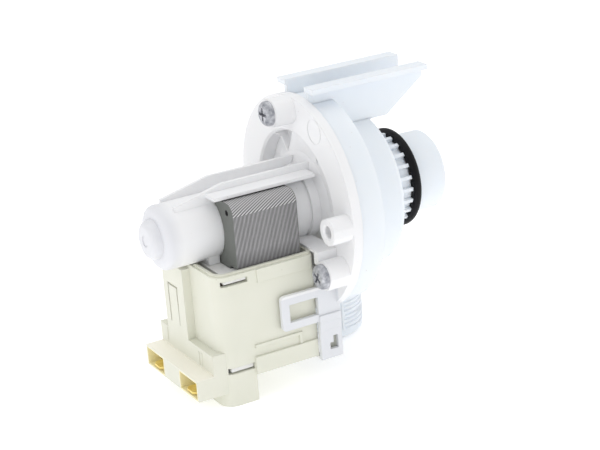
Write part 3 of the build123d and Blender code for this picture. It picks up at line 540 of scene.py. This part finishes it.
@dataclass(frozen=True)
class Metal:
    """Plated or bare metal with fine scratches and dull patches."""

    name: str
    tone: Tone
    shade: Tone
    roughness: float
    metallic: float = 1.0
    patch: float = 3 * MM
    patch_gain: float = 2.2
    patch_start: float = 0.6
    patch_rough: float = 0.12
    grain: float = 0.4 * MM
    grain_rough: float = 0.1
    grain_depth: float = 0.015 * MM
    edge: float = 0.12 * MM
    stretch: Triple = (1, 1, 1)

    def make(self) -> bpy.types.Material:
        """Build the material.

        Returns:
            The material.
        """
        recipe = Recipe(self.name)
        patch = recipe.noise(self.patch, detail=3)
        fine = recipe.noise(self.grain, detail=3, stretch=self.stretch)
        dull = (patch * self.patch_gain - self.patch_start).held()
        recipe.set(
            Base_Color=recipe.blend(dull, self.tone, self.shade),
            Metallic=self.metallic,
            Roughness=self.roughness + patch * self.patch_rough + fine * self.grain_rough,
        )
        recipe.relief(fine, self.grain_depth, soften=self.edge)
        return recipe.material


@dataclass(frozen=True)
class Rubber:
    """Moulded rubber with a little bloom."""

    name: str
    tone: Tone
    bloom: Tone
    roughness: float = 0.4
    gloss: float = 0.3
    dust: float = 1.6 * MM
    dust_gain: float = 2.0
    dust_start: float = 0.8
    dust_rough: float = 0.15
    grain: float = 0.25 * MM
    grain_depth: float = 0.02 * MM

    def make(self) -> bpy.types.Material:
        """Build the material.

        Returns:
            The material.
        """
        recipe = Recipe(self.name)
        dust = recipe.noise(self.dust, detail=4, rough=0.65)
        dusty = (dust * self.dust_gain - self.dust_start).held()
        recipe.set(
            Base_Color=recipe.blend(dusty, self.tone, self.bloom),
            Roughness=self.roughness + dust * self.dust_rough,
            Specular_IOR_Level=self.gloss,
        )
        recipe.relief(recipe.noise(self.grain, detail=2), self.grain_depth)
        return recipe.material


@dataclass(frozen=True)
class WoundWire:
    """Varnished copper wire, darker where the varnish is thick."""

    name: str
    tone: Tone
    glow: Tone
    roughness: float = 0.3
    coat: float = 0.4
    varnish: float = 1.2 * MM
    varnish_gain: float = 2.0
    varnish_start: float = 0.5
    varnish_rough: float = 0.2
    grain: float = 0.3 * MM
    grain_depth: float = 0.02 * MM

    def make(self) -> bpy.types.Material:
        """Build the material.

        Returns:
            The material.
        """
        recipe = Recipe(self.name)
        varnish = recipe.noise(self.varnish, detail=3)
        thin = (varnish * self.varnish_gain - self.varnish_start).held()
        recipe.set(
            Base_Color=recipe.blend(thin, self.tone, self.glow),
            Roughness=self.roughness + varnish * self.varnish_rough,
            Coat_Weight=self.coat,
        )
        recipe.relief(recipe.noise(self.grain, detail=2), self.grain_depth)
        return recipe.material


class Surface(Enum):
    """Finishes of the pump's pieces."""

    MOTOR = MouldedPlastic(
        "motor_moulding",
        colour(243, 243, 244),
        colour(237, 238, 240),
        painted_light_zones=(
            # Painted shade: the rotor can's end and its boss, greyer than the lamps leave them.
            PaintedLight(
                DATUM.at(-65 * MM, -5 * MM, -16 * MM),
                DATUM.at(-48.5 * MM, 16 * MM, 16 * MM),
                colour(226, 227, 231),
                soft=4 * MM,
            ),
            # Painted shade on the clip bracket's outer faces, on both sides.
            PaintedLight(
                DATUM.at(-26 * MM, 21.9 * MM, -51 * MM),
                DATUM.at(1.4 * MM, 25 * MM, -23.5 * MM),
                colour(226, 228, 232),
            ),
        ),
    )
    VOLUTE = MouldedPlastic(
        "volute_moulding",
        colour(236, 241, 246),
        colour(230, 236, 243),
        glow=0.4,
        glow_reach=2 * MM,
    )
    CREAM = MouldedPlastic(
        "cream_moulding",
        colour(229, 229, 216),
        colour(222, 223, 208),
        roughness=0.48,
        painted_light_zones=(
            # Painted highlight: a lighter band on the terminal block's top face, where more light
            # falls.
            PaintedLight(
                DATUM.at(-56 * MM, -1 * MM, -45.6 * MM),
                DATUM.at(-46.5 * MM, 23 * MM, -44.6 * MM),
                colour(251, 248, 235),
            ),
            # Painted light in the terminal sockets: a warm reflection of the brass blades, lighter
            # than the shade in there.
            PaintedLight(
                DATUM.at(-53.6 * MM, 5.9 * MM, -52.9 * MM),
                DATUM.at(-44.7 * MM, 19.4 * MM, -45.7 * MM),
                colour(250, 241, 198),
            ),
        ),
    )
    BOBBIN = MouldedPlastic(
        "bobbin_moulding", colour(238, 238, 236), colour(230, 230, 228), roughness=0.5
    )
    INNER = MouldedPlastic(
        "inner_moulding", colour(222, 223, 226), colour(208, 210, 214), roughness=0.45
    )
    IMPELLER = MouldedPlastic(
        "impeller_moulding", colour(52, 96, 150), colour(40, 78, 128), roughness=0.38
    )
    WASHER = MouldedPlastic(
        "washer_polymer", colour(138, 106, 60), colour(120, 90, 48), roughness=0.5
    )
    GRAPHITE = MouldedPlastic(
        "pressed_carbon", colour(58, 59, 62), colour(44, 45, 48), roughness=0.35, glow=0.0
    )
    FERRITE = MouldedPlastic(
        "ground_ferrite", colour(48, 48, 50), colour(36, 36, 38), roughness=0.4, glow=0.0
    )
    CORE = Laminations(
        "stator_laminations",
        light=colour(240, 239, 240),
        dark=colour(56, 56, 58),
        end=colour(118, 121, 117),
        core="stator_core",
        holder="coil_housing",
    )
    BRASS = Metal(
        "blade_brass",
        colour(250, 232, 150),
        colour(232, 204, 112),
        roughness=0.42,
        metallic=0.35,
        stretch=(0.3, 2, 1),
    )
    ZINC = Metal(
        "zinc_plate",
        colour(214, 215, 219),
        colour(140, 143, 151),
        roughness=0.45,
        metallic=0.6,
        patch=1.6 * MM,
    )
    STEEL = Metal(
        "ground_steel",
        colour(205, 206, 208),
        colour(170, 172, 175),
        roughness=0.18,
        stretch=(3, 0.4, 0.4),
    )
    RUBBER = Rubber(
        "seal_rubber", colour(9, 8, 11), colour(22, 21, 26), roughness=0.42, gloss=0.18
    )
    # Grey pad tone: painted shade seen through the clip window.
    WINDOW_SHADE_PAD = Rubber("pad_rubber_painted_shade", colour(204, 205, 195), colour(188, 189, 179), roughness=0.7)
    WIRE = WoundWire("coil_wire", colour(38, 9, 8), colour(104, 30, 22))


class Shape:
    """Mesh under construction, shaped by bmesh operators."""

    def __init__(self, name: str) -> None:
        """Start an empty mesh.

        Args:
            name: name of the piece.
        """
        self.name = name
        self.form = bmesh.new()

    def ring(self, middle: Vector, major: float, minor: float, steps: int = 64) -> None:
        """Bead that runs round a point, square to the motor axis.

        Args:
            middle: centre of the ring.
            major: radius of the bead's middle line.
            minor: radius of the bead.
            steps: steps round the ring.
        """
        quarter = math.pi / 2
        turn = Matrix.Rotation(quarter, 4, "Y") @ Matrix.Rotation(quarter, 4, "X")
        section = bmesh.ops.create_circle(
            self.form,
            segments=10,
            radius=minor,
            matrix=Matrix.Translation(middle + Vector((0, major, 0))) @ turn,
        )["verts"]
        edges = list({edge for vert in section for edge in vert.link_edges})
        bmesh.ops.spin(
            self.form,
            geom=section + edges,
            cent=middle,
            axis=(1, 0, 0),
            angle=2 * math.pi,
            steps=steps,
            use_merge=True,
        )

    def rib(self, low: Vector, high: Vector, edge: float, crown: Triple, way: Triple) -> None:
        """Small raised rib, narrower at its crown.

        Args:
            low: lowest corner.
            high: highest corner.
            edge: radius of its edges.
            crown: shares of its size that the crown keeps, along each axis.
            way: direction in which the rib stands.
        """
        middle = (low + high) / 2
        place = Matrix.Translation(middle) @ Matrix.Diagonal((*(high - low), 1))
        verts = bmesh.ops.create_cube(self.form, size=1, matrix=place)["verts"]
        outer = [vert for vert in verts if (vert.co - middle).dot(Vector(way)) > 0]
        bmesh.ops.scale(self.form, vec=crown, verts=outer, space=Matrix.Translation(-middle))
        edges = list({line for vert in outer for line in vert.link_edges})
        bmesh.ops.bevel(
            self.form,
            geom=edges,
            offset=edge,
            offset_type="OFFSET",
            segments=2,
            profile=0.5,
            affect="EDGES",
            material=-1,
        )

    def repeat(self, shifts: list[Triple]) -> None:
        """Copy all that is there so far to further places.

        Args:
            shifts: way from the first to each copy.
        """
        first = self.form.verts[:] + self.form.edges[:] + self.form.faces[:]
        for shift in shifts:
            copied = bmesh.ops.duplicate(self.form, geom=first)["geom"]
            verts = [item for item in copied if isinstance(item, bmesh.types.BMVert)]
            bmesh.ops.translate(self.form, vec=shift, verts=verts)

    def finish(self) -> bpy.types.Object:
        """Weld, turn the faces outwards and make the object.

        Returns:
            The object, at the origin.
        """
        bmesh.ops.remove_doubles(self.form, verts=self.form.verts[:], dist=WELD)
        bmesh.ops.recalc_face_normals(self.form, faces=self.form.faces[:])
        for edge in self.form.edges:
            edge.smooth = edge.calc_face_angle(0.0) < SMOOTH_ANGLE
        for face in self.form.faces:
            face.smooth = True
        mesh = bpy.data.meshes.new(self.name)
        self.form.to_mesh(mesh)
        self.form.free()
        made = bpy.data.objects.new(self.name, mesh)
        bpy.context.scene.collection.objects.link(made)
        return made


@dataclass
class Wardrobe:
    """Materials of the finishes, each built once."""

    made: dict = field(default_factory=dict)

    def material(self, surface: Surface) -> bpy.types.Material:
        """Material of a surface.

        Args:
            surface: which finish.

        Returns:
            The material.
        """
        if surface not in self.made:
            self.made[surface] = surface.value.make()
        return self.made[surface]


@dataclass
class SubAssembly:
    """Nodes and added pieces that ride on one body."""

    wardrobe: Wardrobe
    body: str = "pump_body"
    finishes: dict = field(default_factory=dict)

    def build(self) -> None:
        """Dress the nodes, then model the added pieces."""
        for name, surface in self.finishes.items():
            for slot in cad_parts[name].material_slots:
                slot.material = self.wardrobe.material(surface)
            LOG.info("dressed %s in %s", name, surface.value.name)
        self.model()

    def model(self) -> None:
        """Model the added pieces, if the sub-assembly has any."""

    def keep(self, shape: Shape, surface: Surface, slot: str, *stands_for: str) -> None:
        """Finish a piece, dress it and let it ride on the body.

        Args:
            shape: mesh under construction.
            surface: finish of the piece.
            slot: the record's material slot, not used.
            stands_for: nodes that the piece replaces.
        """
        piece = shape.finish()
        piece.data.materials.append(self.wardrobe.material(surface))
        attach(piece, self.body)
        if stands_for:
            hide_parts(*stands_for)
        LOG.info("modelled %s with %d faces", shape.name, len(piece.data.polygons))


@dataclass
class MotorMoulding(SubAssembly):
    """Flange, bowl and rotor can in one white piece, with its witness marks."""

    finishes: dict = field(default_factory=lambda: {"motor_housing": Surface.MOTOR})
    witness_circle: float = 33.4 * MM
    witness_angles: tuple[float, ...] = (119.6, 255.0)
    witness_radius: float = 4.2 * MM
    witness_bead: float = 0.16 * MM
    witness_sunk: float = 0.08 * MM
    pad_low: Triple = (-5.0 * MM, -21.2 * MM, -48.65 * MM)
    pad_high: Triple = (0.7 * MM, -20.2 * MM, -40.6 * MM)
    pad_edge: float = 0.2 * MM
    pad_crown: Triple = (0.9, 1.0, 0.95)

    def model(self) -> None:
        """Ejector witness rings on the flange, and the grey pad behind the clip window, whose tone
        is painted shade.
        """
        rings = Shape("ejector_witness_rings")
        for angle in self.witness_angles:
            turn = math.radians(angle)
            side, rise = self.witness_circle * math.cos(turn), self.witness_circle * math.sin(turn)
            middle = DATUM.at(self.witness_sunk, side, rise)
            rings.ring(middle, self.witness_radius, self.witness_bead)
        self.keep(rings, Surface.MOTOR, "white_moulding")

        # Grey pad behind the clip window: painted shade seen through it.
        pad = Shape("clip_pad")
        low, high = DATUM.at(*self.pad_low), DATUM.at(*self.pad_high)
        pad.rib(low, high, self.pad_edge, self.pad_crown, (0, -1, 0))
        self.keep(pad, Surface.WINDOW_SHADE_PAD, "seal_rubber")


@dataclass
class Volute(SubAssembly):
    """Pump housing with its seals and the seam down its outlet."""

    finishes: dict = field(
        default_factory=lambda: {
            "volute_housing": Surface.VOLUTE,
            "inlet_collar": Surface.VOLUTE,
            "mounting_rails": Surface.VOLUTE,
            "outlet_spout": Surface.VOLUTE,
            "inlet_o_ring": Surface.RUBBER,
            "flange_seal": Surface.RUBBER,
        }
    )
    outlet_at: float = 16.25 * MM
    outlet_side: float = 17.2 * MM
    outlet_radius: float = 15.2 * MM
    seam_top: float = -39.5 * MM
    seam_low: float = -53.6 * MM
    seam_width: float = 0.5 * MM
    seam_proud: float = 0.12 * MM
    seam_sunk: float = 0.6 * MM
    seam_edge: float = 0.04 * MM
    seam_crown: Triple = (0.6, 1.0, 0.99)

    def model(self) -> None:
        """Raised seam where the two halves of the outlet's mould meet."""
        seam = Shape("outlet_seam")
        near = self.outlet_side - self.outlet_radius
        seam.rib(
            DATUM.at(self.outlet_at - self.seam_width / 2, near - self.seam_proud, self.seam_low),
            DATUM.at(self.outlet_at + self.seam_width / 2, near + self.seam_sunk, self.seam_top),
            self.seam_edge,
            self.seam_crown,
            (0, -1, 0),
        )
        self.keep(seam, Surface.VOLUTE, "white_moulding")


@dataclass
class CoilPack(SubAssembly):
    """Cream housing with the bobbins, windings and blade terminals."""

    finishes: dict = field(
        default_factory=lambda: {
            "coil_housing": Surface.CREAM,
            "coil_bobbin_left": Surface.BOBBIN,
            "coil_bobbin_right": Surface.BOBBIN,
            "coil_winding_left": Surface.WIRE,
            "coil_winding_right": Surface.WIRE,
            "terminal_left": Surface.BRASS,
            "terminal_right": Surface.BRASS,
        }
    )
    step_face: float = -46.7 * MM
    tick_places: tuple[Triple, ...] = (
        (14.4 * MM, -38.6 * MM, -43.6 * MM),
        (-9.6 * MM, -39.4 * MM, -44.4 * MM),
        (-11.6 * MM, -39.4 * MM, -44.4 * MM),
    )
    tick_width: float = 0.7 * MM
    tick_proud: float = 0.3 * MM
    tick_sunk: float = 0.5 * MM
    tick_edge: float = 0.1 * MM
    tick_crown: Triple = (1.0, 0.7, 0.95)
    tab_start: float = -40.4 * MM
    tab_end: float = -32.0 * MM
    tab_inner: float = 18.9 * MM
    tab_outer: float = 20.4 * MM
    tab_places: tuple[tuple[float, float], ...] = (
        (-12.9 * MM, -13.95 * MM),
        (-44.0 * MM, -45.6 * MM),
    )
    tab_edge: float = 0.1 * MM
    tab_crown: Triple = (0.98, 1.0, 0.9)
    wire: float = 0.38 * MM
    wire_proud: float = 0.12 * MM
    corner: float = 2.6 * MM
    corner_steps: int = 5

    def model(self) -> None:
        """Ticks on the step, the bobbins' tabs in the vents, and the outer layer of wire."""
        ticks = Shape("step_ticks")
        for side, top, low in self.tick_places:
            ticks.rib(
                DATUM.at(self.step_face - self.tick_proud, side - self.tick_width / 2, low),
                DATUM.at(self.step_face + self.tick_sunk, side + self.tick_width / 2, top),
                self.tick_edge,
                self.tick_crown,
                (-1, 0, 0),
            )
        self.keep(ticks, Surface.CREAM, "cream_moulding")
        tabs = Shape("bobbin_tabs")
        for side in (-1, 1):
            near, far = sorted((side * self.tab_inner, side * self.tab_outer))
            for top, low in self.tab_places:
                tabs.rib(
                    DATUM.at(self.tab_start, near, low),
                    DATUM.at(self.tab_end, far, top),
                    self.tab_edge,
                    self.tab_crown,
                    (0, side, 0),
                )
        self.keep(tabs, Surface.BOBBIN, "bobbin_plastic")
        for side in ("left", "right"):
            self.keep(self.turns(side), Surface.WIRE, "enamelled_wire")

    def turns(self, side: str) -> Shape:
        """Outer layer of wire: one turn led round the winding, then copied up it.

        Args:
            side: left or right.

        Returns:
            The turns.
        """
        low, high = (Vector(corner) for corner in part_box(f"coil_winding_{side}"))
        shape = Shape(f"wire_turns_{side}")
        form = shape.form
        radius = self.wire / 2
        out = self.wire_proud - radius
        start = Vector((high.x + out, low.y + self.corner, low.z + radius))
        upright = Matrix.Translation(start) @ Matrix.Rotation(math.pi / 2, 4, "X")
        circle = bmesh.ops.create_circle(form, segments=8, radius=radius, matrix=upright)
        section = circle["verts"]
        near, far = low.x + self.corner, high.x - self.corner
        left, right = low.y + self.corner, high.y - self.corner
        runs = (
            (Vector((0, right - left, 0)), (far, right, start.z)),
            (Vector((near - far, 0, 0)), (near, right, start.z)),
            (Vector((0, left - right, 0)), (near, left, start.z)),
            (Vector((far - near, 0, 0)), (far, left, start.z)),
        )
        for run, centre in runs:
            grown = bmesh.ops.extrude_edge_only(form, edges=self.loop(form, section))["geom"]
            section = [item for item in grown if isinstance(item, bmesh.types.BMVert)]
            bmesh.ops.translate(form, vec=run, verts=section)
            grown = bmesh.ops.spin(
                form,
                geom=section + self.loop(form, section),
                cent=centre,
                axis=(0, 0, 1),
                angle=math.pi / 2,
                steps=self.corner_steps,
            )["geom_last"]
            section = [item for item in grown if isinstance(item, bmesh.types.BMVert)]
        bmesh.ops.remove_doubles(form, verts=form.verts[:], dist=WELD)
        count = int((high.z - low.z) / self.wire)
        shape.repeat([(0, 0, index * self.wire) for index in range(1, count)])
        return shape

    @staticmethod
    def loop(form: bmesh.types.BMesh, verts: list) -> list:
        """Edges that join a loop's own points.

        Args:
            form: mesh under construction.
            verts: points of the loop.

        Returns:
            The loop's edges.
        """
        return [line for line in form.edges if all(vert in verts for vert in line.verts)]


@dataclass
class StatorStack(SubAssembly):
    """Laminated core, built sheet by sheet from the shape of its end face."""

    sheet: float = 0.5 * MM
    chamfer: float = 0.03 * MM
    wander: float = 0.025 * MM
    wander_turn: float = 2.4
    hole_side: float = 14.7 * MM
    hole_rise: float = 8.2 * MM
    hole_reach: float = 1.8 * MM
    hole_share: float = 0.65
    far_leg_start: float = 10.2 * MM
    far_leg_end: float = 19.0 * MM
    far_leg_drop: float = 4.7 * MM
    # Dark strips in the gap between core and housing: painted shadow.
    gap_shadow_low: Triple = (-9.98 * MM, 9.0 * MM, -14.0 * MM)
    gap_shadow_high: Triple = (-8.55 * MM, 18.8 * MM, -10.9 * MM)
    gap_shadow_edge: float = 0.15 * MM
    gap_shadow_crown: Triple = (0.95, 0.99, 1.0)

    def model(self) -> None:
        """Stack of stamped sheets that stands for the core."""
        low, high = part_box("stator_core")
        count = round((high[0] - low[0]) / self.sheet)
        pitch = (high[0] - low[0]) / count
        shape = Shape("stator_sheets")
        form = shape.form
        form.from_mesh(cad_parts["stator_core"].data)
        bmesh.ops.remove_doubles(form, verts=form.verts[:], dist=WELD)
        rest = [face for face in form.faces if face.calc_center_median().x > low[0] + WELD]
        bmesh.ops.delete(form, geom=rest, context="FACES")
        for side in (-self.hole_side, self.hole_side):
            middle = Vector((low[0], side, DATUM.height + self.hole_rise))
            rim = [vert for vert in form.verts if (vert.co - middle).length < self.hole_reach]
            share = Vector((1, self.hole_share, self.hole_share))
            bmesh.ops.scale(form, vec=share, verts=rim, space=Matrix.Translation(-middle))
        run = self.far_leg_end - self.far_leg_start
        bmesh.ops.bisect_plane(
            form,
            geom=form.verts[:] + form.edges[:] + form.faces[:],
            dist=WELD,
            plane_co=(low[0], self.far_leg_start, high[2]),
            plane_no=(0, self.far_leg_drop, run),
            clear_outer=True,
        )
        bmesh.ops.translate(form, vec=(self.chamfer, 0, 0), verts=form.verts[:])
        near = form.faces[:]
        far_geometry = bmesh.ops.extrude_face_region(form, geom=near, use_keep_orig=True)["geom"]
        far = [item for item in far_geometry if isinstance(item, bmesh.types.BMFace)]
        far_verts = [item for item in far_geometry if isinstance(item, bmesh.types.BMVert)]
        bmesh.ops.translate(form, vec=(pitch - 2 * self.chamfer, 0, 0), verts=far_verts)
        for faces, way in ((near, -1), (far, 1)):
            bmesh.ops.inset_region(
                form, faces=faces, thickness=self.chamfer, use_even_offset=True
            )
            verts = list({vert for face in faces for vert in face.verts})
            bmesh.ops.translate(form, vec=(way * self.chamfer, 0, 0), verts=verts)
        turns = [(index, index * self.wander_turn) for index in range(1, count)]
        shape.repeat(
            [
                (index * pitch, self.wander * math.sin(turn), self.wander * math.cos(turn))
                for index, turn in turns
            ]
        )
        self.keep(shape, Surface.CORE, "lamination_steel", "stator_core")
        self.shade_gap()

    def shade_gap(self) -> None:
        """Dark strips that paint the shadow in the gap between the core and the end wall of its
        housing.
        """
        gap_shadow = Shape("core_gap_shadow")
        (start, inner, low_rise), (end, outer, high_rise) = self.gap_shadow_low, self.gap_shadow_high
        for side in (-1, 1):
            near, far = sorted((side * inner, side * outer))
            gap_shadow.rib(
                DATUM.at(start, near, low_rise),
                DATUM.at(end, far, high_rise),
                self.gap_shadow_edge,
                self.gap_shadow_crown,
                (0, 0, 1),
            )
        self.keep(gap_shadow, Surface.RUBBER, "seal_rubber")


@dataclass
class Fasteners(SubAssembly):
    """Zinc plated screws of the flange."""

    finishes: dict = field(default_factory=lambda: {"flange_screws": Surface.ZINC})


@dataclass
class Bearings(SubAssembly):
    """Bearing cover with its ring, and both bearings in their rubber seats."""

    finishes: dict = field(
        default_factory=lambda: {
            "bearing_cover": Surface.INNER,
            "cover_seal": Surface.RUBBER,
            "front_bearing": Surface.GRAPHITE,
            "front_bearing_seat": Surface.RUBBER,
            "rear_bearing": Surface.GRAPHITE,
            "rear_bearing_seat": Surface.RUBBER,
        }
    )


@dataclass
class Rotor(SubAssembly):
    """Magnet, sleeve, shaft, washers and driving dog."""

    body: str = "rotor"
    finishes: dict = field(
        default_factory=lambda: {
            "rotor_shaft": Surface.STEEL,
            "rotor_magnet": Surface.FERRITE,
            "rotor_sleeve": Surface.INNER,
            "thrust_washers": Surface.WASHER,
            "drive_dog": Surface.WASHER,
        }
    )


@dataclass
class ImpellerWheel(SubAssembly):
    """Impeller and the cap that closes its hub."""

    body: str = "impeller_wheel"
    finishes: dict = field(
        default_factory=lambda: {"impeller": Surface.IMPELLER, "impeller_cap": Surface.IMPELLER}
    )


@dataclass
class Camera:
    """Camera at the photograph's angle."""

    place: Triple = (-262.9 * MM, -489.5 * MM, 253.4 * MM)
    solved_face: float = 2.6 * MM
    azimuth: float = -28.56
    elevation: float = 20.13
    roll: float = -4.55
    lens: float = 102.55
    sensor: float = 36.0
    nearest: float = 10 * MM

    def build(self) -> None:
        """Create the camera and make it the scene's."""
        angles = (self.azimuth, self.elevation, self.roll)
        turn, rise, lean = (math.radians(angle) for angle in angles)
        level_share = math.cos(rise)
        back = Vector(
            (math.sin(turn) * level_share, -math.cos(turn) * level_share, math.sin(rise))
        )
        level = Vector((math.cos(turn), math.sin(turn), 0))
        upright = back.cross(level)
        right = level * math.cos(lean) + upright * math.sin(lean)
        up = back.cross(right)
        place = Vector(self.place) + Vector((DATUM.face - self.solved_face, 0, 0))
        data = bpy.data.cameras.new("photo_camera")
        data.lens = self.lens
        data.sensor_width = self.sensor
        data.clip_start = self.nearest
        rig = bpy.data.objects.new("photo_camera", data)
        turned = Matrix((right, up, back)).transposed().to_4x4()
        rig.matrix_world = Matrix.Translation(place) @ turned
        bpy.context.scene.collection.objects.link(rig)
        bpy.context.scene.camera = rig
        LOG.info("placed the camera")


@dataclass(frozen=True)
class Lamp:
    """Round soft lamp that looks at a point above the floor's middle."""

    name: str
    place: Triple
    size: float
    power: float
    aim_height: float = 50 * MM

    def build(self) -> None:
        """Create the lamp."""
        data = bpy.data.lights.new(self.name, "AREA")
        data.shape = "DISK"
        data.size = self.size
        data.energy = self.power
        lamp = bpy.data.objects.new(self.name, data)
        aim = Vector((0, 0, self.aim_height)) - Vector(self.place)
        turned = aim.to_track_quat("-Z", "Y").to_matrix().to_4x4()
        lamp.matrix_world = Matrix.Translation(self.place) @ turned
        bpy.context.scene.collection.objects.link(lamp)


@dataclass
class Studio:
    """Pale floor, even surroundings and soft lamps."""

    floor_half: float = 3.0
    floor_tone: Tone = colour(252, 252, 253)
    floor_glow: float = 0.33
    floor_rough: float = 0.9
    sky: float = 0.775
    sky_tone: Tone = (1.0, 1.0, 1.0, 1.0)
    lamps: tuple[Lamp, ...] = (
        Lamp("key_lamp", (-1.3, -0.2, 0.72), size=1.2, power=2.2),
        Lamp("fill_lamp", (1.1, -0.45, 0.15), size=1.4, power=1.5),
        Lamp("top_lamp", (0.1, 0.2, 1.4), size=1.4, power=4.3),
    )

    def build(self) -> None:
        """Create the surroundings, the floor and the lamps."""
        bpy.context.scene.view_settings.view_transform = "Standard"
        world = bpy.data.worlds.new("studio_air")
        world.use_nodes = True
        air = world.node_tree.nodes["Background"]
        air.inputs["Color"].default_value = self.sky_tone
        air.inputs["Strength"].default_value = self.sky
        bpy.context.scene.world = world
        self.lay_floor()
        for lamp in self.lamps:
            lamp.build()
        LOG.info("set up the studio with %d lamps", len(self.lamps))

    def lay_floor(self) -> None:
        """Create the floor."""
        mesh = bpy.data.meshes.new("studio_floor")
        form = bmesh.new()
        bmesh.ops.create_grid(form, x_segments=1, y_segments=1, size=self.floor_half)
        form.to_mesh(mesh)
        form.free()
        floor = bpy.data.objects.new("studio_floor", mesh)
        bpy.context.scene.collection.objects.link(floor)
        recipe = Recipe("studio_paper")
        recipe.set(
            Base_Color=self.floor_tone,
            Roughness=self.floor_rough,
            Emission_Color=self.floor_tone,
            Emission_Strength=self.floor_glow,
        )
        mesh.materials.append(recipe.material)


def main() -> None:
    """Build the sub-assemblies in order, then the camera and the studio."""
    logging.basicConfig(level=logging.INFO)
    wardrobe = Wardrobe()
    for group in (
        MotorMoulding,
        Volute,
        CoilPack,
        StatorStack,
        Fasteners,
        Bearings,
        Rotor,
        ImpellerWheel,
    ):
        group(wardrobe).build()
    Camera().build()
    Studio().build()


if __name__ == "__main__":
    main()
